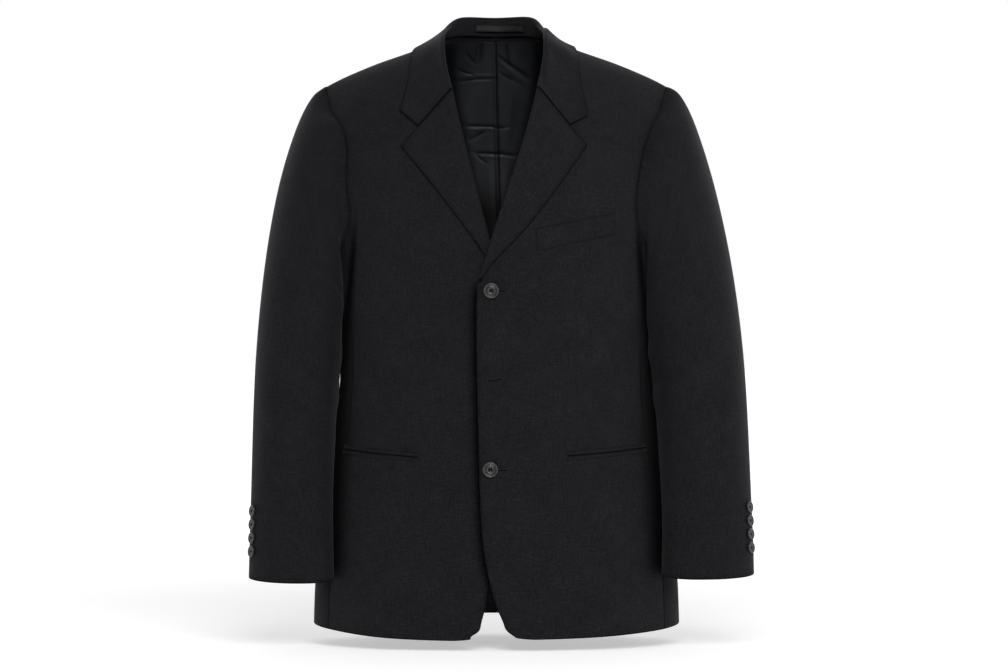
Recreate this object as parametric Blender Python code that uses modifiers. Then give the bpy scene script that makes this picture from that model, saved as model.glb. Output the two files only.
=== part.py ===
"""A man's three-button single-breasted blazer, filled out as if worn, in metres.

+Z is up and the front faces -Y, so +X is the wearer's left. The origin is the middle of the back
neck seam. Every cloth piece is a thin wall lofted through sections, cut where a tailor cuts it.
"""

import math

import bmesh
import bpy
import numpy as np
from mathutils import Vector

# ---------------------------------------------------------------- driving sizes, in metres
SEAM_GAP = 0.0003  # between pieces that are sewn together
BODY_WALL = 0.0020
SLEEVE_WALL = 0.0018
LAPEL_WALL = 0.0018
COLLAR_WALL = 0.0022
LINING_WALL = 0.0010
LINING_SPACE = 0.0020
TRIM_WALL = 0.0010  # pocket jets, welt and hanger loop

SHOULDER_PEAK = 0.0238  # height from which the shoulder seam's fall is measured
DOME_BASE = -0.200  # below this height the trunk's sections keep their full depth
DOME_LENGTH = 0.270  # length of cloth from DOME_BASE over to the shoulder seam
SLOPE_BASE = -0.280  # below this height the sections are level
SHOULDER_Y = 0.010  # the shoulder seam lies a little behind the side seams

FRONT_CENTRE = -0.0076  # the line through the buttons
UNDER_LAY = -0.0035  # the right front lies under the left where they overlap
OVER_LAY = 0.0020
OVERLAP_FADE = (0.045, 0.150)  # distances from the button line between which that lay fades out
OVERLAP_TOP = (-0.110, 0.010)  # heights between which it fades out towards the shoulder
BREAK_Z = -0.3318  # where the lapel begins to roll
GORGE_Z = -0.083  # where the collar seam meets the roll
NOTCH_SHARE = 0.655  # how far along the gorge line the notch is
COLLAR_LIFT = 0.0014  # space between the collar's fall and the panels
LAPEL_LEG = 0.0085  # cloth behind the roll before the front panel begins
FRONT_SEAM = math.radians(63.0)  # side panel's seams, as angles round the trunk from the front
BACK_SEAM = math.radians(118.0)


def columns(names, rows):
    """A table as a dict of columns."""
    return {name: [row[i] for row in rows] for i, name in enumerate(names.split())}


TRUNK = columns(
    "z half_width front_depth back_depth power",
    [
        (-0.80, 0.2395, 0.127, 0.112, 2.35),
        (-0.72, 0.2372, 0.127, 0.113, 2.35),
        (-0.62, 0.2270, 0.124, 0.110, 2.35),
        (-0.53, 0.2120, 0.120, 0.099, 2.35),
        (-0.44, 0.2045, 0.118, 0.091, 2.35),
        (-0.36, 0.2080, 0.120, 0.095, 2.35),
        (-0.28, 0.2155, 0.123, 0.105, 2.40),
        (-0.20, 0.2200, 0.121, 0.112, 2.40),
        (-0.08, 0.2222, 0.118, 0.112, 2.40),
        (0.03, 0.2236, 0.116, 0.112, 2.40),
    ],
)
# The shoulder seam's fall below SHOULDER_PEAK, from the neck outwards.
SHOULDER = columns(
    "x fall",
    [
        (0.000, -0.0280),
        (0.030, -0.0100),
        (0.056, 0.0130),
        (0.0785, 0.0345),
        (0.100, 0.0456),
        (0.118, 0.0522),
        (0.150, 0.0632),
        (0.1813, 0.0756),
        (0.197, 0.0824),
        (0.2128, 0.0900),
        (0.2236, 0.0958),
    ],
)
# The armhole seam: how far out it lies at each height of the trunk's sections.
ARMHOLE = columns(
    "z left_front right_front back",
    [
        (-0.305, 0.2134, 0.2134, 0.2134),
        (-0.296, 0.2040, 0.2070, 0.2100),
        (-0.270, 0.1880, 0.1950, 0.2035),
        (-0.233, 0.1795, 0.1888, 0.1990),
        (-0.191, 0.1814, 0.1937, 0.1980),
        (-0.137, 0.1885, 0.1925, 0.2000),
        (-0.0712, 0.2038, 0.2038, 0.2070),
        (-0.0366, 0.2130, 0.2155, 0.2125),
        (-0.0050, 0.2182, 0.2202, 0.2186),
        (0.0130, 0.2214, 0.2224, 0.2216),
    ],
)
# The front edge from the hem corner up to the break: how far past the button line each front reaches.
FRONT_EDGE = columns(
    "z left right",
    [
        (-0.7850, -0.0560, -0.0480),
        (-0.7838, -0.0410, -0.0320),
        (-0.7812, -0.0310, -0.0252),
        (-0.7752, -0.0228, -0.0180),
        (-0.7650, -0.0170, -0.0120),
        (-0.7500, -0.0106, -0.0082),
        (-0.7300, -0.0040, -0.0050),
        (-0.7100, 0.0012, -0.0022),
        (-0.6900, 0.0055, 0.0010),
        (-0.6550, 0.0103, 0.0065),
        (-0.6100, 0.0130, 0.0110),
        (-0.5500, 0.0148, 0.0140),
        (-0.4800, 0.0166, 0.0166),
        (-0.4000, 0.0180, 0.0180),
        (-0.3600, 0.0178, 0.0178),
        (-0.3318, 0.0166, 0.0166),
    ],
)
HEM_DROP = {"left": 0.0, "right": 0.0022}  # the right front's corner hangs a little lower
# The roll line of each front, and the outer edge of each lapel, in front view.
ROLL = columns(
    "z left_x right_x",
    [
        (-0.3318, -0.0242, 0.0065),
        (-0.3000, -0.0140, -0.0018),
        (-0.2650, -0.0030, -0.0111),
        (-0.2259, 0.0095, -0.0215),
        (-0.1800, 0.0245, -0.0332),
        (-0.1337, 0.0385, -0.0447),
        (-0.0830, 0.0505, -0.0562),
        (-0.0400, 0.0575, -0.0630),
        (0.0100, 0.0610, -0.0640),
    ],
)
LAPEL_EDGE = columns(
    "z left_x right_x",
    [
        (-0.3225, -0.0160, -0.0015),
        (-0.3025, -0.0005, -0.0120),
        (-0.2797, 0.0217, -0.0268),
        (-0.2399, 0.0560, -0.0562),
        (-0.1880, 0.0940, -0.0970),
        (-0.1558, 0.1163, -0.1231),
    ],
)
# Collar sections from the middle of the back to the front: the neck seam and the outer edge in front
# view, both on the trunk's form, and the top of the roll.
NECK_CENTRE = -0.0030
COLLAR = columns(
    "station neck_x neck_z roll_x roll_y roll_z edge_x edge_z radius",
    [
        (0.00, 0.000, 0.0000, 0.0000, 0.0800, 0.0258, 0.0000, -0.0150, 0.0028),
        (0.18, 0.033, 0.0000, 0.0290, 0.0705, 0.0258, 0.0400, -0.0170, 0.0028),
        (0.36, 0.060, -0.0040, 0.0485, 0.0500, 0.0200, 0.0760, -0.0195, 0.0028),
        (0.52, 0.0765, -0.0110, 0.0590, 0.0260, 0.0065, 0.0965, -0.0210, 0.0028),
        (0.68, 0.0785, -0.0180, 0.0640, -0.0285, -0.0090, 0.1075, -0.0345, 0.0028),
        (0.84, 0.0720, -0.0400, 0.0620, -0.0650, -0.0430, 0.1110, -0.0680, 0.0028),
    ],
)
COLLAR_SPACING = columns("even station", [(0.0, 0.0), (0.15, 0.22), (0.80, 0.78), (1.0, 1.0)])
COLLAR_TIP = {"left": (0.1173, -0.1178), "right": (-0.1244, -0.1099)}
# Sleeve sections from shoulder to cuff, tilting from the armhole to level: the outer and the inner
# point in front view, the centre's depth, and the half depths to the front and the back.
SLEEVE = columns(
    "outer_x outer_z inner_x inner_z centre_y front_depth back_depth seam_share",
    [
        (0.2236, -0.0718, 0.2138, -0.3050, 0.001, 0.0730, 0.0760, 1.00),
        (0.2385, -0.0762, 0.2080, -0.3120, 0.000, 0.0790, 0.0790, 0.70),
        (0.2530, -0.1015, 0.1960, -0.3220, -0.002, 0.0810, 0.0790, 0.38),
        (0.2650, -0.1365, 0.1880, -0.3330, -0.004, 0.0800, 0.0770, 0.15),
        (0.2790, -0.1870, 0.1850, -0.3440, -0.006, 0.0775, 0.0735, 0.04),
        (0.2905, -0.2420, 0.1850, -0.3570, -0.009, 0.0740, 0.0695, 0.00),
        (0.2995, -0.3000, 0.1870, -0.3750, -0.013, 0.0700, 0.0650, 0.00),
        (0.3065, -0.3600, 0.1930, -0.4080, -0.018, 0.0655, 0.0605, 0.00),
        (0.3120, -0.4250, 0.1990, -0.4550, -0.024, 0.0605, 0.0560, 0.00),
        (0.3148, -0.4900, 0.2045, -0.5080, -0.031, 0.0555, 0.0510, 0.00),
        (0.3158, -0.5550, 0.2080, -0.5660, -0.040, 0.0505, 0.0455, 0.00),
        (0.3165, -0.6200, 0.2095, -0.6270, -0.051, 0.0455, 0.0400, 0.00),
        (0.3172, -0.6700, 0.2090, -0.6740, -0.060, 0.0420, 0.0365, 0.00),
        (0.3178, -0.7098, 0.2084, -0.7113, -0.067, 0.0400, 0.0345, 0.00),
    ],
)
SLEEVE_FULLNESS = 0.0014
SLEEVE_POWER = 2.15
CUFF_DIP = 0.0045  # the cuff's front hangs this much lower than its sides
# How each sleeve's outer and inner points depart from those sections, and how much higher it hangs.
SLEEVE_SHIFT = {
    "left": columns(
        "station outer inner lift",
        [
            (0.0, 0.0000, 0.0000, 0.0000),
            (2.0, 0.0000, -0.0045, 0.0000),
            (4.0, 0.0004, -0.0060, 0.0001),
            (6.0, 0.0046, -0.0035, 0.0013),
            (8.0, 0.0082, 0.0010, 0.0029),
            (10.0, 0.0110, 0.0025, 0.0044),
            (12.0, 0.0129, 0.0038, 0.0050),
            (13.0, 0.0129, 0.0042, 0.0050),
        ],
    ),
    "right": columns(
        "station outer inner lift",
        [
            (0.0, 0.0000, 0.0000, 0.0000),
            (2.0, 0.0000, 0.0040, 0.0000),
            (4.0, 0.0004, 0.0045, 0.0000),
            (6.0, 0.0006, 0.0052, 0.0000),
            (8.0, 0.0000, 0.0050, 0.0000),
            (10.0, 0.0000, 0.0010, 0.0000),
            (13.0, 0.0000, -0.0010, 0.0000),
        ],
    ),
}
SLEEVE_CLEARANCE = 0.0023
SLEEVE_LEAN = 0.10
# Sleeve seams as angles round the sleeve: 0 is the outer side, 90 degrees the front.
SLEEVE_SEAMS = columns(
    "station front_seam back_seam",
    [(0.0, 168.0, -78.0), (5.0, 180.0, -62.0), (9.0, 184.0, -36.0), (13.0, 184.0, 2.0)],
)
# The largest folds: soft bands on the trunk as angle, height, half width, half length and depth.
TRUNK_FOLDS = columns(
    "angle z width length depth lean",
    [
        (34.0, -0.700, 9.0, 0.120, 0.0026, 4.0),
        (-36.0, -0.690, 9.0, 0.130, 0.0026, -4.0),
        (150.0, -0.660, 10.0, 0.150, 0.0045, 6.0),
        (-150.0, -0.650, 10.0, 0.150, 0.0045, -6.0),
        (141.0, -0.240, 7.0, 0.090, 0.0030, -10.0),
        (-141.0, -0.240, 7.0, 0.090, 0.0030, 10.0),
    ],
)
SLEEVE_FOLDS = columns(
    "angle station width length depth",
    [(150.0, 7.4, 34.0, 0.34, 0.0026), (205.0, 8.3, 34.0, 0.34, 0.0024), (60.0, 11.2, 26.0, 1.20, 0.0016)],
)

POCKET_LENGTH = 41.0  # as an angle round the trunk, in degrees
POCKETS = {"left": (0.0905, -0.5517), "right": (-0.0999, -0.5536)}
POCKET_RISE = 0.009
JET_HEIGHT = 0.0050
JET_SPACE = 0.0012  # the mouth between the two jets
WELT_INNER = (0.0509, -0.2916, -0.2630)
WELT_OUTER = (0.1538, -0.2689, -0.2409)
LOOP_ENDS = (-0.030, 0.038)
LOOP_RISE = (0.24, 0.46, 0.68)  # its lower edge, middle and upper edge, as shares of the stand's height
LOOP_BOW = 0.0022
LOOP_LIFT = 0.0008

BUTTON_RADIUS = 0.0100
CUFF_BUTTON_RADIUS = 0.0075
BUTTON_STANDOFF = 0.0006
FRONT_BUTTONS = {"button_front_upper": (-0.0064, -0.3413), "button_front_lower": (-0.0076, -0.5692)}
CUFF_BUTTON_ANGLE = 24.0
CUFF_BUTTON_FIRST = 0.036  # height of the lowest one's centre above the cuff
CUFF_BUTTON_STEP = 0.0172

SIDES = {"left": 1.0, "right": -1.0}

MATERIALS = {  # linear colour, roughness, metallic
    "wool": ((0.0160, 0.0162, 0.0175), 0.88, 0.0),
    "lining": ((0.0150, 0.0165, 0.0185), 0.42, 0.0),
    "button": ((0.0300, 0.0300, 0.0310), 0.35, 0.0),
    "loop": ((0.0300, 0.0330, 0.0320), 0.50, 0.0),
}


# ---------------------------------------------------------------- curves through tables
def spline(knots, values, at):
    """A natural cubic spline through the knots, read at `at`, and straight past its ends."""
    knots = np.asarray(knots, float)
    values = np.asarray(values, float)
    step = np.diff(knots)
    slope = np.diff(values) / step
    count = len(knots)
    system = np.eye(count)
    right = np.zeros(count)
    for i in range(1, count - 1):
        system[i, i - 1 : i + 2] = step[i - 1], 2 * (step[i - 1] + step[i]), step[i]
        right[i] = 6 * (slope[i] - slope[i - 1])
    bend = np.linalg.solve(system, right)
    x = np.asarray(at, float)
    inside = np.clip(x, knots[0], knots[-1])
    i = np.clip(np.searchsorted(knots, inside) - 1, 0, count - 2)
    low = inside - knots[i]
    high = knots[i + 1] - inside
    h = step[i]
    curve = (bend[i] * high**3 + bend[i + 1] * low**3) / (6 * h)
    curve = curve + (values[i] / h - bend[i] * h / 6) * high + (values[i + 1] / h - bend[i + 1] * h / 6) * low
    start = slope[0] - step[0] * (2 * bend[0] + bend[1]) / 6
    end = slope[-1] + step[-1] * (bend[-2] + 2 * bend[-1]) / 6
    return curve + np.minimum(x - knots[0], 0) * start + np.maximum(x - knots[-1], 0) * end


def read(table, key, name, at):
    """One column of a table, read smoothly at `at` in its key column."""
    return spline(table[key], table[name], at)


def ease(low, high, x):
    """0 below low and 1 above high, smoothly between."""
    t = np.clip((np.asarray(x, float) - low) / (high - low), 0, 1)
    return t * t * (3 - 2 * t)


def lerp(a, b, t):
    return a + (b - a) * t


# ---------------------------------------------------------------- the trunk's form
def section_fall(level, x):
    """How far a section lies below its level: level itself under the arms, like the shoulder seam at the top."""
    rise = np.clip((level - SLOPE_BASE) / (SHOULDER_PEAK - SLOPE_BASE), 0, 1)
    return read(SHOULDER, "x", "fall", np.abs(x)) * rise**1.3


def level_of(climb):
    """The section height and its share of full depth, from the cloth's length up the garment."""
    turn = np.clip((climb - DOME_BASE) / DOME_LENGTH, 0, 1) * math.pi / 2
    height = SHOULDER_PEAK - DOME_BASE
    level = np.where(climb > DOME_BASE, DOME_BASE + height * np.sin(turn), climb)
    return level, np.where(climb > DOME_BASE, np.cos(turn), 1.0)


def climb_of(level):
    height = SHOULDER_PEAK - DOME_BASE
    turn = np.arcsin(np.clip((level - DOME_BASE) / height, 0, 1))
    return np.where(level > DOME_BASE, DOME_BASE + turn / (math.pi / 2) * DOME_LENGTH, level)


def trunk(angle, climb):
    """A point of the trunk: angle 0 is the front, +90 degrees the wearer's left, 180 the back."""
    angle, climb = np.broadcast_arrays(np.asarray(angle, float), np.asarray(climb, float))
    level, depth_share = level_of(climb)
    half_width = read(TRUNK, "z", "half_width", level)
    power = 2 / read(TRUNK, "z", "power", level)
    across, ahead = np.sin(angle), np.cos(angle)
    depth = np.where(ahead > 0, read(TRUNK, "z", "front_depth", level), read(TRUNK, "z", "back_depth", level))
    x = half_width * np.sign(across) * np.abs(across) ** power
    y = -depth * depth_share * np.sign(ahead) * np.abs(ahead) ** power
    y = y + SHOULDER_Y * ease(DOME_BASE, SHOULDER_PEAK, level)
    return np.stack([x, y, level - section_fall(level, x)], -1)


def trunk_normal(angle, climb):
    """The outward direction there."""
    small_angle, small_climb = 0.004, 0.0015
    climb = np.minimum(climb, DOME_BASE + DOME_LENGTH - small_climb)
    along = trunk(angle + small_angle, climb) - trunk(angle - small_angle, climb)
    up = trunk(angle, climb + small_climb) - trunk(angle, climb - small_climb)
    normal = np.cross(along, up)
    return normal / np.linalg.norm(normal, axis=-1, keepdims=True)


def trunk_folds(angle, climb):
    """Depth of the soft folds, outwards."""
    total = np.zeros(np.broadcast(angle, climb).shape)
    for i in range(len(TRUNK_FOLDS["z"])):
        fold = {name: TRUNK_FOLDS[name][i] for name in TRUNK_FOLDS}
        down = (climb - fold["z"]) / fold["length"]
        off = np.degrees(angle) - fold["angle"] - fold["lean"] * down
        off = (off + 180) % 360 - 180
        total = total + fold["depth"] * np.exp(-((off / fold["width"]) ** 2) - down**2)
    return total


def on_trunk(angle, climb, lay=0.0):
    """A point lay metres outside the trunk's form."""
    lay = np.asarray(lay, float) + trunk_folds(angle, climb)
    return trunk(angle, climb) + trunk_normal(angle, climb) * lay[..., None]


def angle_at(x, climb):
    """The angle from the front at which the trunk is x to the side."""
    level, _ = level_of(climb)
    share = np.clip(np.abs(x) / read(TRUNK, "z", "half_width", level), 0, 1)
    return np.sign(x) * np.arcsin(share ** (read(TRUNK, "z", "power", level) / 2))


def climb_at(x, z):
    """The cloth's climb at a point of the front view."""
    x, z = np.broadcast_arrays(np.asarray(x, float), np.asarray(z, float))
    level = z.copy()
    for _ in range(30):
        level = np.minimum(z + section_fall(level, x), SHOULDER_PEAK)
    return climb_of(level)


def nearest(points, rounds=25):
    """The angle and climb of the trunk's form nearest to each point, and each point's height above it."""
    x, y, z = points[..., 0], points[..., 1], points[..., 2]
    climb = climb_at(x, z)
    ahead = angle_at(x, climb)
    behind = y > SHOULDER_Y
    side = np.where(x < 0, -1.0, 1.0)
    angle = np.where(behind, side * math.pi - ahead, ahead)
    top = DOME_BASE + DOME_LENGTH
    small_angle, small_climb = 0.003, 0.001
    for _ in range(rounds):
        inner = np.minimum(climb, top - small_climb)
        across = (trunk(angle + small_angle, inner) - trunk(angle - small_angle, inner)) / (2 * small_angle)
        up = (trunk(angle, inner + small_climb) - trunk(angle, inner - small_climb)) / (2 * small_climb)
        left = points - trunk(angle, climb)
        aa, au, uu = (across**2).sum(-1), (across * up).sum(-1), (up**2).sum(-1)
        ra, ru = (left * across).sum(-1), (left * up).sum(-1)
        whole = np.maximum(aa * uu - au**2, 1e-12)
        angle = angle + np.clip((ra * uu - ru * au) / whole, -0.08, 0.08)
        climb = np.minimum(climb + np.clip((ru * aa - ra * au) / whole, -0.02, 0.02), top)
    height = ((points - trunk(angle, climb)) * trunk_normal(angle, climb)).sum(-1)
    return angle, climb, height


def held_off(points, least):
    """Points nearer than `least` to the trunk's form are moved straight out to it."""
    angle, climb, height = nearest(points)
    normal = trunk_normal(angle, climb)
    return points + normal * np.maximum(least(angle, climb) - height, 0)[..., None]


def overlap_lay(side, x, climb):
    """How far the fronts are moved out or in so that one passes over the other."""
    share = 1 - ease(OVERLAP_FADE[0], OVERLAP_FADE[1], np.abs(x - FRONT_CENTRE))
    share = share * (1 - ease(OVERLAP_TOP[0], OVERLAP_TOP[1], climb))
    return (OVER_LAY if side == "left" else UNDER_LAY) * share


def on_front(side, x, z, lay=0.0):
    """A point of one front, given in front view, lay metres outside the front panel's face."""
    climb = climb_at(x, z)
    return on_trunk(angle_at(x, climb), climb, overlap_lay(side, x, climb) + lay)


# ---------------------------------------------------------------- meshes
def grid_normals(grid, closed=False):
    """Unit normals of a grid of points, from the differences along its rows and columns."""
    if closed:
        along = np.roll(grid, -1, 1) - np.roll(grid, 1, 1)
    else:
        along = np.gradient(grid, axis=1)
    normal = np.cross(along, np.gradient(grid, axis=0))
    return normal / np.linalg.norm(normal, axis=-1, keepdims=True)


def wall_object(name, outer, inner, material, closed=False):
    """A closed wall between an outer and an inner grid of points, each rows by columns."""
    rows, cols = outer.shape[:2]
    mesh = bpy.data.meshes.new(name)
    bm = bmesh.new()
    faces = [[[bm.verts.new(p) for p in row] for row in grid] for grid in (outer, inner)]
    out, back = faces
    steps = cols if closed else cols - 1
    for i in range(rows - 1):
        for j in range(steps):
            k = (j + 1) % cols
            bm.faces.new((out[i][j], out[i][k], out[i + 1][k], out[i + 1][j]))
            bm.faces.new((back[i][j], back[i + 1][j], back[i + 1][k], back[i][k]))
    for j in range(steps):
        k = (j + 1) % cols
        bm.faces.new((out[0][k], out[0][j], back[0][j], back[0][k]))
        bm.faces.new((out[-1][j], out[-1][k], back[-1][k], back[-1][j]))
    if not closed:
        for i in range(rows - 1):
            bm.faces.new((out[i][0], out[i + 1][0], back[i + 1][0], back[i][0]))
            bm.faces.new((out[i + 1][-1], out[i][-1], back[i][-1], back[i + 1][-1]))
    bmesh.ops.recalc_face_normals(bm, faces=bm.faces)
    if bm.calc_volume(signed=True) < 0:
        bmesh.ops.reverse_faces(bm, faces=bm.faces)
    bm.to_mesh(mesh)
    bm.free()
    mesh.shade_smooth()
    mesh.set_sharp_from_angle(angle=math.radians(40))
    return place(bpy.data.objects.new(name, mesh), material)


def sheet_object(name, middle, thickness, material):
    """A wall of even thickness about a grid of middle points."""
    normal = grid_normals(middle)
    return wall_object(name, middle + normal * thickness / 2, middle - normal * thickness / 2, material)


def place(obj, material):
    """Gives the object its own material and puts it in the garment's collection."""
    obj.data.materials.append(make_material(obj.name, *MATERIALS[material]))
    garment.objects.link(obj)
    return obj


def make_material(name, colour, roughness, metallic):
    block = bpy.data.materials.new(name)
    block.use_nodes = True
    shader = block.node_tree.nodes["Principled BSDF"]
    shader.inputs["Base Color"].default_value = (*colour, 1.0)
    shader.inputs["Roughness"].default_value = roughness
    shader.inputs["Metallic"].default_value = metallic
    return block


# ---------------------------------------------------------------- the armhole seam
def armhole_loop(side):
    """One side's seam as (unsigned angle, climb) round the armhole: top, down the front, bottom, up the back."""
    front = angle_at(np.array(ARMHOLE[side + "_front"]), climb_of(np.array(ARMHOLE["z"])))
    back = math.pi - angle_at(np.array(ARMHOLE["back"]), climb_of(np.array(ARMHOLE["z"])))
    climb = climb_of(np.array(ARMHOLE["z"]))
    top = DOME_BASE + DOME_LENGTH
    angle = np.concatenate([[math.pi / 2], front[::-1], back[1:], [math.pi / 2]])
    climb = np.concatenate([[top], climb[::-1], climb[1:], [top]])
    points = trunk(angle, climb)
    length = np.concatenate([[0], np.cumsum(np.linalg.norm(np.diff(points, axis=0), axis=1))])
    padded = np.concatenate([length[:-1] - length[-1], length, length[1:] + length[-1]])
    fine = np.linspace(0, length[-1], 241)

    def around(values):
        return spline(padded, np.concatenate([values[:-1], values, values[1:]]), fine)

    return np.stack([around(angle), np.minimum(around(climb), top)], -1)


def armhole_angle(side, climb, at_front):
    """The angle of the armhole's front or back branch at a height of the cloth."""
    loop = armhole_loop(side)
    bottom = int(np.argmin(loop[:, 1]))
    branch = loop[: bottom + 1][::-1] if at_front else loop[bottom:]
    return SIDES[side] * np.interp(climb, branch[:, 1], branch[:, 0])


def meets_armhole(side, angle, at_front):
    """The height of the cloth at which a side panel's seam runs into the armhole."""
    climb = np.linspace(ARMHOLE["z"][0], -0.15, 156)
    past = np.abs(armhole_angle(side, climb, at_front)) - angle
    return climb[np.argmax(past <= 0 if at_front else past >= 0)]


def armhole_floor(side, angle):
    """The climb of the armhole's bottom at an angle between its two side seams."""
    loop = armhole_loop(side)
    low = loop[loop[:, 1] < -0.23]
    order = np.argsort(low[:, 0])
    return np.interp(np.abs(angle), low[order, 0], low[order, 1])


def hem_climb(angle):
    """The hem: lowest at the front edges and level from the sides round the back."""
    ahead = np.clip(np.cos(angle), 0, 1)
    behind = np.clip(-np.cos(angle), 0, 1)
    return -0.7735 - 0.0115 * ahead**1.5 + 0.0015 * behind


# ---------------------------------------------------------------- trunk panels
def panel_object(name, angle, climb, lay):
    """A trunk panel from its grid of angles and climbs."""
    outer = on_trunk(angle, climb, lay)
    inner = outer - trunk_normal(angle, climb) * BODY_WALL
    for face in (outer, inner):  # the shoulder seam, or the armhole's floor, which lies well inside it
        if name.startswith("front"):
            face[-1, :, 1] = np.minimum(face[-1, :, 1], SHOULDER_Y - SEAM_GAP / 2)
        if name.startswith("back"):
            face[-1, :, 1] = np.maximum(face[-1, :, 1], SHOULDER_Y + SEAM_GAP / 2)
    return wall_object(name, outer, inner, "wool")


def lapel_leg(z):
    """How much cloth of the lapel lies behind its roll."""
    return lerp(0.0012, LAPEL_LEG, ease(BREAK_Z, BREAK_Z + 0.06, z))


def roll_radius(z):
    """The lapel rolls more softly towards the collar."""
    return lerp(0.0013, 0.0030, ease(BREAK_Z, GORGE_Z, z))


def neck_seam(side, at_front):
    """One panel's neck seam up to the shoulder, as angle and climb a seam's gap outside the collar's foot."""
    at = SIDES[side] * (np.linspace(1.0, 0.35, 53) if at_front else np.linspace(0.0, 0.75, 61))
    foot = collar_middle(at, held=False)[:, 0]
    tangent = np.gradient(foot, axis=0)
    angle, climb, _ = nearest(foot)
    away = np.cross(trunk_normal(angle, climb), tangent)
    away = away / np.linalg.norm(away, axis=1, keepdims=True)
    centre = np.array([NECK_CENTRE, SHOULDER_Y, 0.0])
    away = away * np.where(((foot - centre) * away).sum(1) < 0, -1.0, 1.0)[:, None]
    gap = SEAM_GAP + 0.0003 + COLLAR_WALL / 2 * (1 - ease(0.84, 1.0, np.abs(at)))
    angle, climb, _ = nearest(foot + away * gap[:, None])
    own = (np.abs(angle) < math.pi / 2) == at_front
    angle, climb = angle[own], climb[own]
    last = abs(float(angle_at(trunk(angle[-1], climb[-1])[0], DOME_BASE + DOME_LENGTH)))
    angle = np.append(angle, SIDES[side] * (last if at_front else math.pi - last))
    return angle, np.maximum.accumulate(np.append(climb, DOME_BASE + DOME_LENGTH))


def front_boundary(side):
    """The front panel's inner edge above the hem's corner, as angle and climb: front edge, roll, neck."""
    sign = SIDES[side]
    edge_z = np.array(FRONT_EDGE["z"][10:])
    edge_x = FRONT_CENTRE - sign * np.array(FRONT_EDGE[side][10:])
    rolled = []
    for t in np.linspace(0, 1, 25):
        roll, edge, radius, leg = lapel_line(side, t)
        direction = (edge - roll) / np.linalg.norm(edge - roll)
        room = SEAM_GAP + 0.0014 * (1 - ease(0.0, 0.40, t))
        rolled.append(roll + direction * (radius + leg + room))
    rolled = np.array([(rolled[0][0], BREAK_Z + 0.0008), *rolled])
    x = np.concatenate([edge_x, rolled[:, 0]])
    z = np.concatenate([edge_z, rolled[:, 1]])
    climb = climb_at(x, z)
    angle = angle_at(x, climb)
    neck_angle, neck_climb = neck_seam(side, True)
    above = neck_climb > climb[-1] + 0.002
    angle = np.concatenate([angle, neck_angle[above]])
    climb = np.maximum.accumulate(np.concatenate([climb, neck_climb[above]]))
    return angle, climb


def front_panel(side, n_cols=12):
    sign = SIDES[side]
    top = DOME_BASE + DOME_LENGTH
    corner = np.array(FRONT_EDGE["z"])[:11]
    spaced = np.interp(np.linspace(0, 1, 12), np.linspace(0, 1, 11), corner)
    rows = np.concatenate(
        [
            spaced[:-1],
            np.linspace(corner[-1], BREAK_Z, 7),
            BREAK_Z + np.array([0.002, 0.010, 0.019, 0.030]),
            np.linspace(-0.2729, -0.215, 3),
            np.linspace(-0.19, -0.02, 7),
            np.linspace(0.0, top - 0.0002, 5),
        ]
    )
    bottom, reference = corner[0], corner[-1]
    share = np.linspace(0, 1, n_cols + 1)
    edge_angle, edge_climb = front_boundary(side)
    angle = np.zeros((len(rows), n_cols + 1))
    climb = np.zeros_like(angle)
    for i, row in enumerate(rows):
        if row < reference:
            x = FRONT_CENTRE - sign * read(FRONT_EDGE, "z", side, row)
            start = float(angle_at(x, np.array(row)))
        else:
            start = np.interp(row, edge_climb, edge_angle)
        end = sign * (FRONT_SEAM - SEAM_GAP / 0.25)
        if row > meets_armhole(side, FRONT_SEAM, True):
            end = float(armhole_angle(side, row, True))
        angle[i] = lerp(start, end, share)
        if row < reference:
            hem = hem_climb(angle[i]) - HEM_DROP[side] * ease(0.4, 1.0, np.cos(angle[i]))
            climb[i] = hem + (reference - hem) * (row - bottom) / (reference - bottom)
        else:
            climb[i] = row
    lay = overlap_lay(side, trunk(angle, climb)[..., 0], climb)
    return panel_object("front_" + side, angle, climb, lay)


def side_panel(side, n_cols=4, n_rows=17):
    sign = SIDES[side]
    gap = SEAM_GAP / 0.25
    angle = sign * np.linspace(FRONT_SEAM + gap, BACK_SEAM - gap, n_cols + 1)
    share = np.linspace(0, 1, n_rows + 1)[:, None]
    climb = lerp(hem_climb(angle)[None, :], armhole_floor(side, angle)[None, :], share)
    return panel_object("side_" + side, np.broadcast_to(angle, climb.shape), climb, 0.0)


NECK_ROWS = np.array([0.03, 0.10, 0.20, 0.33, 0.48, 0.64, 0.82, 1.0])  # rows of the back beside the neck


def back_panel(side, n_cols=9):
    sign = SIDES[side]
    top = DOME_BASE + DOME_LENGTH
    rows = np.linspace(0, 1, 15)
    neck_angle, neck_climb = neck_seam(side, False)
    neck = neck_climb[0]
    upper = np.concatenate([np.linspace(-0.20, neck, 6)[1:], neck + (top - 0.0002 - neck) * NECK_ROWS])
    angle, climb = [], []
    share = np.linspace(0, 1, n_cols + 1)
    centre = math.pi - SEAM_GAP / 2 / 0.11
    for i, t in enumerate(np.concatenate([rows, upper])):
        lower = i < len(rows)
        level = lerp(-0.772, -0.20, t) if lower else t
        end = BACK_SEAM + SEAM_GAP / 0.25
        if level > meets_armhole(side, BACK_SEAM, False):
            end = abs(float(armhole_angle(side, level, False)))
        start = centre
        if level > neck:
            start = min(centre, np.interp(level, neck_climb, np.abs(neck_angle)))
        row = lerp(start, end, share**1.2)
        angle.append(sign * row)
        climb.append(lerp(hem_climb(row), -0.20, t) if lower else np.full(n_cols + 1, level))
    return panel_object("back_" + side, np.array(angle), np.array(climb), 0.0)


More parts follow.
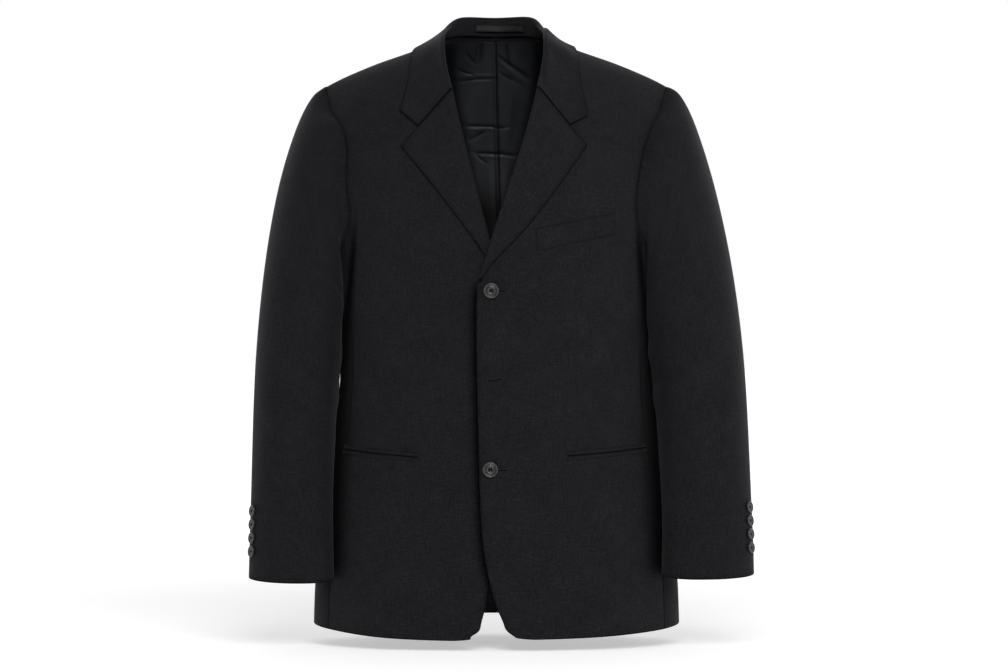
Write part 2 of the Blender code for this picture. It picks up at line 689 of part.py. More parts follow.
# ---------------------------------------------------------------- lapels and collar
def lapel_section(side, roll, path, radius, leg, wall, n_leg=1, n_arc=5):
    """One section across a lapel or the collar's front end, as middle points from behind the roll,
    round it, and out along a path of points in front view."""
    path = np.asarray(path, float)
    first = path[0] - roll
    direction = first / np.linalg.norm(first)
    base = -BODY_WALL / 2
    points = []
    for distance in np.linspace(leg + radius, radius, n_leg + 1)[:-1]:
        points.append((*(roll + direction * distance), base))
    for turn in np.linspace(0, math.pi, n_arc + 1):
        distance = radius - radius * math.sin(turn)
        height = radius - radius * math.cos(turn)
        points.append((*(roll + direction * distance), base + height))
    lowest = BODY_WALL / 2 + 0.0006 + wall / 2
    start = roll + direction * radius
    travelled = np.concatenate([[0], np.cumsum(np.linalg.norm(np.diff(np.vstack([start, path]), axis=0), axis=1))])
    for point, way in zip(path, travelled[1:] / travelled[-1]):
        height = lowest + (2 * radius - lowest) * (1 - way) ** 2
        points.append((*point, base + max(height, lowest)))
    points = np.array(points)
    return on_front(side, points[:, 0], points[:, 1], points[:, 2])


def lapel_line(side, t):
    """The lapel's roll point and edge point in front view at a share of its length, its radius and leg."""
    column = side + "_x"
    roll_z = lerp(BREAK_Z + 0.0040, GORGE_Z - SEAM_GAP / 2, t)
    edge_z = lerp(LAPEL_EDGE["z"][0], LAPEL_EDGE["z"][-1] - SEAM_GAP / 2, t)
    roll = np.array([float(read(ROLL, "z", column, roll_z)) + SIDES[side] * LAPEL_WALL / 2, roll_z])
    edge = np.array([float(read(LAPEL_EDGE, "z", column, edge_z)), edge_z])
    return roll, edge, float(roll_radius(roll_z)), float(lapel_leg(roll_z))


def lapel(side, n_rows=12, n_out=6):
    sections = []
    for t in np.linspace(0, 1, n_rows + 1) ** 1.25:
        roll, edge, radius, leg = lapel_line(side, t)
        start = roll + (edge - roll) / np.linalg.norm(edge - roll) * radius
        path = [lerp(start, edge, q) for q in np.linspace(0, 1, n_out + 1)[1:]]
        sections.append(lapel_section(side, roll, path, radius, leg, LAPEL_WALL))
    return sheet_object("lapel_" + side, np.array(sections), LAPEL_WALL, "wool")


def gorge_points(side):
    """The start of the gorge on the roll line, the notch, and the lapel's tip, in front view."""
    column = side + "_x"
    start = np.array([read(ROLL, "z", column, GORGE_Z), GORGE_Z])
    tip = np.array([LAPEL_EDGE[column][-1], LAPEL_EDGE["z"][-1]])
    return start, lerp(start, tip, NOTCH_SHARE), tip


def collar_front_section(side, n_out):
    start, notch, _ = gorge_points(side)
    wall_edge = np.array([SIDES[side] * COLLAR_WALL / 2, 0.0])
    lift = np.array([0.0, SEAM_GAP])
    roll = start + wall_edge + lift
    notch = notch + lift
    tip = np.array(COLLAR_TIP[side])
    radius = float(roll_radius(GORGE_Z))
    n_gorge = n_out - 2
    begin = roll + (notch - roll) / np.linalg.norm(notch - roll) * radius
    path = [lerp(begin, notch, q) for q in np.linspace(0, 1, n_gorge + 1)[1:]]
    path += [lerp(notch, tip, q) for q in (0.5, 1.0)]
    return lapel_section(side, roll, path, radius, LAPEL_LEG, COLLAR_WALL, n_leg=3)


def on_form(x, z, behind, lay):
    """A point of the trunk's form given in front view, at the front or the back."""
    climb = climb_at(x, z)
    angle = angle_at(x, climb)
    side = -1.0 if x < 0 else 1.0
    angle = side * math.pi - angle if behind else angle
    cover = 0.0 if behind else overlap_lay("left" if x > 0 else "right", x, climb)
    return trunk(angle, climb) + trunk_normal(angle, climb) * (lay + cover)


def collar_back_section(row, sign, n_out, n_leg=3, n_arc=5):
    """A collar section beside or behind the neck: stand, roll and fall."""
    behind = row["station"] < 0.6
    neck_x, roll_x, edge_x = (NECK_CENTRE + sign * row[part + "_x"] for part in ("neck", "roll", "edge"))
    neck = on_form(neck_x, row["neck_z"], behind, -BODY_WALL / 2)
    roll = np.array([roll_x, row["roll_y"], row["roll_z"]])
    edge = on_form(edge_x, row["edge_z"], behind, COLLAR_LIFT + COLLAR_WALL / 2)
    radius = row["radius"]
    up = (roll - neck) / np.linalg.norm(roll - neck)
    out = edge - roll
    out = out - up * (out @ up)
    out = out / np.linalg.norm(out)
    stand_top = roll - up * radius
    points = [lerp(neck, stand_top, q) for q in np.linspace(0, 1, n_leg + 1)[:-1]]
    centre = stand_top + out * radius
    for turn in np.linspace(0, math.pi, n_arc + 1):
        points.append(centre - out * radius * math.cos(turn) + up * radius * math.sin(turn))
    start = points[-1]
    bend = start - up * 0.30 * np.linalg.norm(edge - start)
    for q in np.linspace(0, 1, n_out + 1)[1:]:
        points.append(start * (1 - q) ** 2 + bend * 2 * q * (1 - q) + edge * q**2)
    return np.array(points)


def collar_key_sections(n_out=6):
    """Stations and sections from the wearer's right front, round the back, to the left front."""
    stations, sections = [], []
    for side in ("right", "left"):
        sign = SIDES[side]
        part = [(sign * 1.0, collar_front_section(side, n_out))]
        for i in reversed(range(len(COLLAR["station"]))):
            row = {name: COLLAR[name][i] for name in COLLAR}
            part.append((sign * row["station"], collar_back_section(row, sign, n_out)))
        if side == "left":
            part = part[:-1][::-1]
        stations += [p[0] for p in part]
        sections += [p[1] for p in part]
    return np.array(stations), np.array(sections)


def collar_middle(at, n_out=6, held=True):
    """The collar's middle surface at stations from -1 to 1, its fall held off the panels."""
    stations, sections = collar_key_sections(n_out)
    flat = sections.reshape(len(stations), -1)
    read_at = np.stack([spline(stations, flat[:, i], at) for i in range(flat.shape[1])], -1)
    points = read_at.reshape(len(at), -1, 3)
    if held:
        fall = points[:, 9:]

        def least(angle, climb):
            x = trunk(angle, climb)[..., 0]
            cover = np.where(x > 0, overlap_lay("left", x, climb), overlap_lay("right", x, climb))
            behind = np.abs(angle) > math.pi / 2
            return np.where(behind, 0.0, cover) + COLLAR_LIFT + COLLAR_WALL / 2

        points[:, 9:] = held_off(fall, least)
    return points


def collar(n_rows=40):
    """The collar, with most of its sections where it turns over the shoulders."""
    even = np.linspace(-1, 1, n_rows + 1)
    at = np.sign(even) * np.interp(np.abs(even), COLLAR_SPACING["even"], COLLAR_SPACING["station"])
    return sheet_object("collar", collar_middle(at)[:, ::-1], COLLAR_WALL, "wool")


# ---------------------------------------------------------------- lining and hanger loop
def lining(n_cols=16, n_rows=16):
    """The back lining, with its pleat down the middle."""
    share = np.linspace(-1, 1, n_cols + 1)
    across = np.sign(share) * np.abs(share) ** 1.5
    angle = math.pi + across * (math.pi - BACK_SEAM - 0.06)
    angle = np.where(angle > math.pi, angle - 2 * math.pi, angle)
    t = np.linspace(0, 1, n_rows + 1)[:, None]
    width = np.abs(across) * 0.19
    neck_angle, neck_climb = neck_seam("left", False)
    reach = trunk(neck_angle, neck_climb)[:, 0]
    top = np.interp(width, reach, neck_climb)
    top = top - 0.004 - 0.26 * ease(0.070, 0.19, width)
    climb = lerp(-0.745, top[None, :], t)
    angle = np.broadcast_to(angle, climb.shape)
    pleat = 0.0065 * np.exp(-((across / 0.06) ** 2)) * (1 - 0.4 * t)
    lay = -BODY_WALL - LINING_SPACE - pleat
    outer = trunk(angle, climb) + trunk_normal(angle, climb) * (lay + trunk_folds(angle, climb))[..., None]
    inner = outer - trunk_normal(angle, climb) * LINING_WALL
    return wall_object("lining_back", outer, inner, "lining")


def hanger_loop(n_cols=10):
    """A short tape sewn by its two ends to the inside of the collar's stand."""
    x = np.linspace(LOOP_ENDS[0], LOOP_ENDS[1], n_cols + 1)
    at = np.linspace(-0.3, 0.3, 61)
    stand = collar_middle(at, held=False)[:, :4]
    bow = LOOP_BOW * (1 - (2 * (x - LOOP_ENDS[0]) / (LOOP_ENDS[1] - LOOP_ENDS[0]) - 1) ** 4)
    rows = []
    for share in LOOP_RISE:
        line = lerp(stand[:, 0], stand[:, 3], share)
        rows.append(np.stack([np.interp(x, line[:, 0], line[:, k]) for k in range(3)], -1))
    grid = np.array(rows)
    inward = grid_normals(grid)
    inward = inward * -np.sign(inward[..., 1:2])
    face = grid + inward * (COLLAR_WALL / 2 + LOOP_LIFT + bow[None, :, None])
    return wall_object("hanger_loop", face, face + inward * TRIM_WALL, "loop")


# ---------------------------------------------------------------- sleeves
def sleeve_section(side, angle, station):
    """Points of the sleeve's outer face: angle 0 is the outer side and 90 degrees the front."""
    angle, station = np.broadcast_arrays(np.asarray(angle, float), np.asarray(station, float))
    keys = np.arange(len(SLEEVE["outer_x"]))
    value = {name: spline(keys, SLEEVE[name], station) for name in SLEEVE}
    shift = SLEEVE_SHIFT[side]
    lift = read(shift, "station", "lift", station)
    outer_x = value["outer_x"] + read(shift, "station", "outer", station) + SLEEVE_FULLNESS * ease(1.0, 4.0, station)
    inner_x = value["inner_x"] + read(shift, "station", "inner", station)
    outer_z = value["outer_z"] + lift
    inner_z = value["inner_z"] + lift
    across, ahead = np.cos(angle), np.sin(angle)
    across = np.sign(across) * np.abs(across) ** (2 / SLEEVE_POWER)
    ahead = np.sign(ahead) * np.abs(ahead) ** (2 / SLEEVE_POWER)
    depth = np.where(ahead > 0, value["front_depth"], value["back_depth"])
    x = lerp(inner_x, outer_x, (1 + across) / 2)
    z = lerp(inner_z, outer_z, (1 + across) / 2)
    y = value["centre_y"] - depth * ahead
    x = x - SLEEVE_LEAN * depth * np.maximum(ahead, 0) ** 2 * ease(3, 6, station)
    z = z - CUFF_DIP * ease(9, 13, station) * np.maximum(ahead, 0)
    points = np.stack([x, y, z], -1)
    share = np.clip(value["seam_share"], 0, 1)
    return points + seam_offset(side, angle) * share[..., None], station


def seam_offset(side, angle):
    """How the armhole seam departs from the first section's plain oval."""
    loop = armhole_loop(side)
    points = on_trunk(loop[:, 0], loop[:, 1])
    normal = trunk_normal(loop[:, 0], loop[:, 1])
    tangent = np.gradient(points, axis=0)
    away = np.cross(tangent, normal)
    away = away / np.linalg.norm(away, axis=1, keepdims=True)
    centre = points.mean(0)
    away = away * np.sign(((centre - points) * away).sum(1))[:, None]
    points = points + away * (SEAM_GAP + 0.0002) + normal * 0.0004
    middle_z = (SLEEVE["outer_z"][0] + SLEEVE["inner_z"][0]) / 2
    half_z = (SLEEVE["outer_z"][0] - SLEEVE["inner_z"][0]) / 2
    depth = np.where(points[:, 1] < SLEEVE["centre_y"][0], SLEEVE["front_depth"][0], SLEEVE["back_depth"][0])
    seam_angle = np.arctan2(-(points[:, 1] - SLEEVE["centre_y"][0]) / depth, (points[:, 2] - middle_z) / half_z)
    order = np.argsort(seam_angle)
    seam_angle, points = seam_angle[order], points[order]
    turned = (np.asarray(angle) + math.pi) % (2 * math.pi) - math.pi
    seam = np.stack([np.interp(turned, seam_angle, points[:, k], period=2 * math.pi) for k in range(3)], -1)
    across, ahead = np.cos(turned), np.sin(turned)
    across = np.sign(across) * np.abs(across) ** (2 / SLEEVE_POWER)
    ahead = np.sign(ahead) * np.abs(ahead) ** (2 / SLEEVE_POWER)
    depth = np.where(ahead > 0, SLEEVE["front_depth"][0], SLEEVE["back_depth"][0])
    half = (1 + across) / 2
    oval = np.stack(
        [
            lerp(SLEEVE["inner_x"][0], SLEEVE["outer_x"][0], half),
            SLEEVE["centre_y"][0] - depth * ahead,
            lerp(SLEEVE["inner_z"][0], SLEEVE["outer_z"][0], half),
        ],
        -1,
    )
    return seam - oval


def sleeve_folds(angle, station):
    total = np.zeros(np.broadcast(angle, station).shape)
    for i in range(len(SLEEVE_FOLDS["angle"])):
        fold = {name: SLEEVE_FOLDS[name][i] for name in SLEEVE_FOLDS}
        off = (np.degrees(angle) - fold["angle"] + 180) % 360 - 180
        down = (station - fold["station"]) / fold["length"]
        total = total + fold["depth"] * np.exp(-((off / fold["width"]) ** 2) - down**2)
    return total


def sleeve_piece(name, side, from_seam, to_seam, n_cols, stations):
    """A sleeve panel between two seams, whose angles are read at each station."""
    share = np.linspace(0, 1, n_cols + 1)[None, :]
    rows = stations[:, None]
    start = np.radians(read(SLEEVE_SEAMS, "station", from_seam, rows))
    end = np.radians(read(SLEEVE_SEAMS, "station", to_seam, rows))
    if end.mean() < start.mean():
        end = end + 2 * math.pi
    gap = SEAM_GAP / 2 / 0.05
    angle = lerp(start + gap, end - gap, share)
    step = 0.02

    def outer_face(a, s):
        points, _ = sleeve_section(side, a, s)
        wanted = SLEEVE_CLEARANCE * ease(0.0, 1.0, s) - 0.003 * (1 - ease(0.0, 0.4, s))
        return held_off(points, lambda angle, climb: wanted)

    rows = np.broadcast_to(rows, angle.shape)
    outer = outer_face(angle, rows)
    along = outer_face(angle + step, rows) - outer_face(angle - step, rows)
    later = np.minimum(rows + step, 13)
    down = outer_face(angle, later) - outer_face(angle, later - 2 * step)
    first = outer_face(angle, rows + 0.3) - outer
    down = np.where((rows < 0.2)[..., None], first, down)
    normal = np.cross(along, down)
    normal = normal / np.linalg.norm(normal, axis=-1, keepdims=True)
    outer = outer + normal * sleeve_folds(angle, rows)[..., None]
    inner = outer - normal * SLEEVE_WALL
    mirror = np.array([SIDES[side], 1, 1])
    return wall_object(name, outer * mirror, inner * mirror, "wool")


def sleeve(side):
    stations = np.concatenate([[0, 0.5, 1.0, 1.7, 2.6], np.linspace(3.7, 13, 11)])
    sleeve_piece("top_sleeve_" + side, side, "back_seam", "front_seam", 15, stations)
    sleeve_piece("under_sleeve_" + side, side, "front_seam", "back_seam", 8, stations)


# ---------------------------------------------------------------- pockets
def strip_object(name, side, angle, climb):
    """A strip lying on a front, made from the front's own points moved out."""
    base = overlap_lay(side, trunk(angle, climb)[..., 0], climb)
    inner = on_trunk(angle, climb, base + SEAM_GAP)
    outer = on_trunk(angle, climb, base + SEAM_GAP + TRIM_WALL)
    return wall_object(name, outer, inner, "wool")


def hip_pocket(side, n_cols=14):
    """A jetted pocket: one narrow jet above the mouth and one below."""
    x, z = POCKETS[side]
    sign = SIDES[side]
    start = float(angle_at(x, np.array(z)))
    share = np.linspace(0, 1, n_cols + 1)
    angle = start + sign * math.radians(POCKET_LENGTH) * share
    middle = z + POCKET_RISE * share
    for name, low, high in (
        ("jet_upper_", JET_SPACE / 2, JET_SPACE / 2 + JET_HEIGHT),
        ("jet_lower_", -JET_SPACE / 2 - JET_HEIGHT, -JET_SPACE / 2),
    ):
        climb = np.stack([middle + low, middle + high])
        strip_object(name + side, side, np.broadcast_to(angle, climb.shape), climb)


def breast_welt(n_cols=8, n_rows=2):
    across = np.linspace(0, 1, n_cols + 1)[None, :]
    up = np.linspace(0, 1, n_rows + 1)[:, None]
    x = lerp(WELT_INNER[0], WELT_OUTER[0], across) + 0 * up
    z = lerp(lerp(WELT_INNER[1], WELT_OUTER[1], across), lerp(WELT_INNER[2], WELT_OUTER[2], across), up)
    climb = climb_at(x, z)
    strip_object("breast_welt", "left", angle_at(x, climb), climb)


# ---------------------------------------------------------------- buttons
BUTTON_PROFILE = columns(  # shares of the radius: distance from the axis and height above the back
    "distance height",
    [(0.0, 0.19), (0.30, 0.19), (0.40, 0.27), (0.60, 0.27), (0.68, 0.22), (0.84, 0.32), (1.0, 0.24), (0.92, 0.03), (0.0, 0.0)],
)


def button_object(name, radius, position, facing, steps):
    """A turned button with a raised rim, a groove, an inner ring and a sunk middle."""
    mesh = bpy.data.meshes.new(name)
    profile = [(d * radius, 0, h * radius) for d, h in zip(BUTTON_PROFILE["distance"], BUTTON_PROFILE["height"])]
    mesh.from_pydata(profile, [(i, i + 1) for i in range(len(profile) - 1)], [])
    obj = place(bpy.data.objects.new(name, mesh), "button")
    screw = obj.modifiers.new("turn", "SCREW")
    screw.steps = screw.render_steps = steps
    screw.use_merge_vertices = True
    screw.merge_threshold = 0.00001
    obj.location = position
    obj.rotation_mode = "QUATERNION"
    obj.rotation_quaternion = Vector(facing).to_track_quat("Z", "Y")
    return obj


def front_buttons():
    for name, (x, z) in FRONT_BUTTONS.items():
        on_face = on_front("left", x, z, 0.0)
        climb = climb_at(x, z)
        normal = trunk_normal(angle_at(x, climb), climb)
        button_object(name, BUTTON_RADIUS, on_face + normal * BUTTON_STANDOFF, normal, 20)


def cuff_buttons(side):
    """Four buttons up the outer back of the cuff."""
    angle = math.radians(CUFF_BUTTON_ANGLE)
    stations = np.linspace(10, 13, 61)
    line, _ = sleeve_section(side, np.full(61, angle), stations)
    height = line[:, 2] - line[-1, 2]
    mirror = np.array([SIDES[side], 1, 1])
    step = 0.02
    for i in range(4):
        station = float(np.interp(CUFF_BUTTON_FIRST + i * CUFF_BUTTON_STEP, height[::-1], stations[::-1]))
        here, _ = sleeve_section(side, angle, station)
        along = sleeve_section(side, angle + step, station)[0] - sleeve_section(side, angle - step, station)[0]
        down = sleeve_section(side, angle, station + step)[0] - sleeve_section(side, angle, station - step)[0]
        normal = np.cross(along, down)
        normal = normal / np.linalg.norm(normal)
        spot = here + normal * (BUTTON_STANDOFF + float(sleeve_folds(angle, station)))
        button_object(f"button_cuff_{side}_{i + 1}", CUFF_BUTTON_RADIUS, spot * mirror, normal * mirror, 14)


# ---------------------------------------------------------------- the garment
for old in list(bpy.data.objects):
    bpy.data.objects.remove(old)
garment = bpy.data.collections.new("blazer")
bpy.context.scene.collection.children.link(garment)

for side in SIDES:
    front_panel(side)
    side_panel(side)
    back_panel(side)
    lapel(side)
    sleeve(side)
    hip_pocket(side)
    cuff_buttons(side)
collar()
lining()
hanger_loop()
breast_welt()
front_buttons()
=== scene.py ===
"""The blazer's looks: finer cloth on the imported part's form, its sewing, materials, light and camera.

+Z is up and the front faces -Y, so +X is the wearer's left. Sizes are in metres.
"""

import math

import bpy
import numpy as np
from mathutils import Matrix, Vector


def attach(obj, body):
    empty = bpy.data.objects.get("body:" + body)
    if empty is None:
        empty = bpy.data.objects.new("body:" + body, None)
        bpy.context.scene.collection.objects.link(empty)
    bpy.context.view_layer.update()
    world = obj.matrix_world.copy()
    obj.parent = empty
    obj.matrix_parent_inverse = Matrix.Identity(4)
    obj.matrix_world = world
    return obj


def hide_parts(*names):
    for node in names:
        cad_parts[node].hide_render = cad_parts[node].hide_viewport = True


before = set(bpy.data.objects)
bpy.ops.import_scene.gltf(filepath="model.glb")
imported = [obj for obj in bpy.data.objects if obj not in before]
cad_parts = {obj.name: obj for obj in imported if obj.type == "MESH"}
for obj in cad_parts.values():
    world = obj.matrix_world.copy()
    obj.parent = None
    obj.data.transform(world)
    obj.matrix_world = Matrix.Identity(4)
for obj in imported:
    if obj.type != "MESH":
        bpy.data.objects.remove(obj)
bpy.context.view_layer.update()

# ---------------------------------------------------------------- driving sizes, in metres
SEAM_GAP = 0.0003  # between pieces that are sewn together
SEWN_GAP = SEAM_GAP / 24  # what the finer cloth leaves open of it
EDGE_SHADE_REACH = 0.0018  # how far the painted shade beside a seam or edge reaches
BODY_WALL = 0.0020
SLEEVE_WALL = 0.0018
LAPEL_WALL = 0.0018
COLLAR_WALL = 0.0022
LINING_WALL = 0.0010
LINING_SPACE = 0.0020
TRIM_WALL = 0.0010  # pocket jets, welt and hanger loop
SEAM_THREAD, MOUTH_SHADOW_THREAD, LOOP_THREAD, HOLE_THREAD = 0.0005, 0.0006, 0.00028, 0.00026  # radii
# The hem's height at the sides, its fall to the fronts and its rise behind.
HEM_SIDE, HEM_FALL, HEM_RISE = -0.7735, 0.0115, 0.0015
BACK_HEM, LINING_HEM = -0.772, -0.745
LINING_HALF = 0.19  # half the lining's width at the neck

SHOULDER_PEAK = 0.0238  # height from which the shoulder seam's fall is measured
DOME_BASE = -0.200  # below this height the trunk's sections keep their full depth
DOME_LENGTH = 0.270  # length of cloth from DOME_BASE over to the shoulder seam
TRUNK_TOP = DOME_BASE + DOME_LENGTH
SLOPE_BASE = -0.280  # below this height the sections are level
SHOULDER_Y = 0.010  # the shoulder seam lies a little behind the side seams
FALL_POWER = 1.3  # how late on the way up the sections begin to slope like the shoulders

FRONT_CENTRE = -0.0076  # the line through the buttons
UNDER_LAY = -0.0035  # the right front lies under the left where they overlap
OVER_LAY = 0.0020
OVERLAP_FADE = (0.045, 0.150)  # distances from the button line between which that lay fades out
OVERLAP_TOP = (-0.110, 0.010)  # heights between which it fades out towards the shoulder
BREAK_Z = -0.3318  # where the lapel begins to roll
GORGE_Z = -0.083  # where the collar seam meets the roll
NOTCH_SHARE = 0.655  # how far along the gorge line the notch is
NOTCH_AT = 2 / 3  # and how far along the collar's fall
COLLAR_LIFT = 0.0014  # space between the collar's fall and the panels
LAPEL_LEG = 0.0085  # cloth behind the roll before the front panel begins
FRONT_SEAM = math.radians(63.0)  # side panel's seams, as angles round the trunk from the front
BACK_SEAM = math.radians(118.0)
# Rough radii that turn lengths of cloth into angles: at the side seams, at the centre back, round a sleeve.
TRUNK_RADIUS, BACK_RADIUS, SLEEVE_RADIUS = 0.25, 0.11, 0.05
TRUNK_METRES, SLEEVE_METRES = 0.19, 0.058  # metres a radian in the crease tables


def columns(names, rows):
    """A table as a dict of columns."""
    return {name: [row[i] for row in rows] for i, name in enumerate(names.split())}


def rows_of(table):
    """The table's rows, each as a dict."""
    return [dict(zip(table, row)) for row in zip(*table.values())]


TRUNK = columns("z half_width front_depth back_depth power", [
    (-0.80, 0.2395, 0.127, 0.112, 2.35),
    (-0.72, 0.2372, 0.127, 0.113, 2.35),
    (-0.62, 0.2270, 0.124, 0.110, 2.35),
    (-0.53, 0.2120, 0.120, 0.099, 2.35),
    (-0.44, 0.2045, 0.118, 0.091, 2.35),
    (-0.36, 0.2080, 0.120, 0.095, 2.35),
    (-0.28, 0.2155, 0.123, 0.105, 2.40),
    (-0.20, 0.2200, 0.121, 0.112, 2.40),
    (-0.08, 0.2222, 0.118, 0.112, 2.40),
    (0.03, 0.2236, 0.116, 0.112, 2.40),
])
# The shoulder seam's fall below SHOULDER_PEAK, from the neck outwards.
SHOULDER = columns("x fall", [
    (0.000, -0.0280),
    (0.030, -0.0100),
    (0.056, 0.0130),
    (0.0785, 0.0345),
    (0.100, 0.0456),
    (0.118, 0.0522),
    (0.150, 0.0632),
    (0.1813, 0.0756),
    (0.197, 0.0824),
    (0.2128, 0.0900),
    (0.2236, 0.0958),
])
# The armhole seam: how far out it lies at each height of the trunk's sections.
ARMHOLE = columns("z left_front right_front back", [
    (-0.305, 0.2134, 0.2134, 0.2134),
    (-0.296, 0.2040, 0.2070, 0.2100),
    (-0.270, 0.1880, 0.1950, 0.2035),
    (-0.233, 0.1795, 0.1888, 0.1990),
    (-0.191, 0.1814, 0.1937, 0.1980),
    (-0.137, 0.1885, 0.1925, 0.2000),
    (-0.0712, 0.2038, 0.2038, 0.2070),
    (-0.0366, 0.2130, 0.2155, 0.2125),
    (-0.0050, 0.2182, 0.2202, 0.2186),
    (0.0130, 0.2214, 0.2224, 0.2216),
])
# The front edge from the hem corner up to the break: how far past the button line each front reaches.
FRONT_EDGE = columns("z left right", [
    (-0.7850, -0.0560, -0.0480),
    (-0.7838, -0.0410, -0.0320),
    (-0.7812, -0.0310, -0.0252),
    (-0.7752, -0.0228, -0.0180),
    (-0.7650, -0.0170, -0.0120),
    (-0.7500, -0.0106, -0.0082),
    (-0.7300, -0.0040, -0.0050),
    (-0.7100, 0.0012, -0.0022),
    (-0.6900, 0.0055, 0.0010),
    (-0.6550, 0.0103, 0.0065),
    (-0.6100, 0.0130, 0.0110),
    (-0.5500, 0.0148, 0.0140),
    (-0.4800, 0.0166, 0.0166),
    (-0.4000, 0.0180, 0.0180),
    (-0.3600, 0.0178, 0.0178),
    (-0.3318, 0.0166, 0.0166),
])
HEM_DROP = {"left": 0.0, "right": 0.0022}  # the right front's corner hangs a little lower
# The roll line of each front, and the outer edge of each lapel, in front view.
ROLL = columns("z left_x right_x", [
    (-0.3318, -0.0242, 0.0065),
    (-0.3000, -0.0140, -0.0018),
    (-0.2650, -0.0030, -0.0111),
    (-0.2259, 0.0095, -0.0215),
    (-0.1800, 0.0245, -0.0332),
    (-0.1337, 0.0385, -0.0447),
    (-0.0830, 0.0505, -0.0562),
    (-0.0400, 0.0575, -0.0630),
    (0.0100, 0.0610, -0.0640),
])
LAPEL_EDGE = columns("z left_x right_x", [
    (-0.3225, -0.0160, -0.0015),
    (-0.3025, -0.0005, -0.0120),
    (-0.2797, 0.0217, -0.0268),
    (-0.2399, 0.0560, -0.0562),
    (-0.1880, 0.0940, -0.0970),
    (-0.1558, 0.1163, -0.1231),
])
# Collar sections from the middle of the back to the front: the neck seam and the outer edge in front
# view, both on the trunk's form, and the top of the roll.
NECK_CENTRE = -0.0030
COLLAR = columns("station neck_x neck_z roll_x roll_y roll_z edge_x edge_z radius", [
    (0.00, 0.000, 0.0000, 0.0000, 0.0800, 0.0258, 0.0000, -0.0150, 0.0028),
    (0.18, 0.033, 0.0000, 0.0290, 0.0705, 0.0258, 0.0400, -0.0170, 0.0028),
    (0.36, 0.060, -0.0040, 0.0485, 0.0500, 0.0200, 0.0760, -0.0195, 0.0028),
    (0.52, 0.0765, -0.0110, 0.0590, 0.0260, 0.0065, 0.0965, -0.0210, 0.0028),
    (0.68, 0.0785, -0.0180, 0.0640, -0.0285, -0.0090, 0.1075, -0.0345, 0.0028),
    (0.84, 0.0720, -0.0400, 0.0620, -0.0650, -0.0430, 0.1110, -0.0680, 0.0028),
])
COLLAR_SPACING = columns("even station", [(0.0, 0.0), (0.15, 0.22), (0.80, 0.78), (1.0, 1.0)])
COLLAR_TIP = {"left": (0.1173, -0.1178), "right": (-0.1244, -0.1099)}
# Sleeve sections from shoulder to cuff, tilting from the armhole to level: the outer and the inner
# point in front view, the centre's depth, and the half depths to the front and the back.
SLEEVE = columns("outer_x outer_z inner_x inner_z centre_y front_depth back_depth seam_share", [
    (0.2236, -0.0718, 0.2138, -0.3050, 0.001, 0.0730, 0.0760, 1.00),
    (0.2385, -0.0762, 0.2080, -0.3120, 0.000, 0.0790, 0.0790, 0.70),
    (0.2530, -0.1015, 0.1960, -0.3220, -0.002, 0.0810, 0.0790, 0.38),
    (0.2650, -0.1365, 0.1880, -0.3330, -0.004, 0.0800, 0.0770, 0.15),
    (0.2790, -0.1870, 0.1850, -0.3440, -0.006, 0.0775, 0.0735, 0.04),
    (0.2905, -0.2420, 0.1850, -0.3570, -0.009, 0.0740, 0.0695, 0.00),
    (0.2995, -0.3000, 0.1870, -0.3750, -0.013, 0.0700, 0.0650, 0.00),
    (0.3065, -0.3600, 0.1930, -0.4080, -0.018, 0.0655, 0.0605, 0.00),
    (0.3120, -0.4250, 0.1990, -0.4550, -0.024, 0.0605, 0.0560, 0.00),
    (0.3148, -0.4900, 0.2045, -0.5080, -0.031, 0.0555, 0.0510, 0.00),
    (0.3158, -0.5550, 0.2080, -0.5660, -0.040, 0.0505, 0.0455, 0.00),
    (0.3165, -0.6200, 0.2095, -0.6270, -0.051, 0.0455, 0.0400, 0.00),
    (0.3172, -0.6700, 0.2090, -0.6740, -0.060, 0.0420, 0.0365, 0.00),
    (0.3178, -0.7098, 0.2084, -0.7113, -0.067, 0.0400, 0.0345, 0.00),
])
SLEEVE_FULLNESS = 0.0014
SLEEVE_POWER = 2.15
CUFF_DIP = 0.0045  # the cuff's front hangs this much lower than its sides
# How each sleeve's outer and inner points depart from those sections, and how much higher it hangs.
SLEEVE_SHIFT = {
    "left": columns(
        "station outer inner lift",
        [
            (0.0, 0.0000, 0.0000, 0.0000),
            (2.0, 0.0000, -0.0045, 0.0000),
            (4.0, 0.0004, -0.0060, 0.0001),
            (6.0, 0.0046, -0.0035, 0.0013),
            (8.0, 0.0082, 0.0010, 0.0029),
            (10.0, 0.0110, 0.0025, 0.0044),
            (12.0, 0.0129, 0.0038, 0.0050),
            (13.0, 0.0129, 0.0042, 0.0050),
        ],
    ),
    "right": columns(
        "station outer inner lift",
        [
            (0.0, 0.0000, 0.0000, 0.0000),
            (2.0, 0.0000, 0.0040, 0.0000),
            (4.0, 0.0004, 0.0045, 0.0000),
            (6.0, 0.0006, 0.0052, 0.0000),
            (8.0, 0.0000, 0.0050, 0.0000),
            (10.0, 0.0000, 0.0010, 0.0000),
            (13.0, 0.0000, -0.0010, 0.0000),
        ],
    ),
}
SLEEVE_CLEARANCE = 0.0023
SLEEVE_LEAN = 0.10
# Sleeve seams as angles round the sleeve: 0 is the outer side, 90 degrees the front.
SLEEVE_SEAMS = columns(
    "station front_seam back_seam",
    [(0.0, 168.0, -78.0), (5.0, 180.0, -62.0), (9.0, 184.0, -36.0), (13.0, 184.0, 2.0)],
)
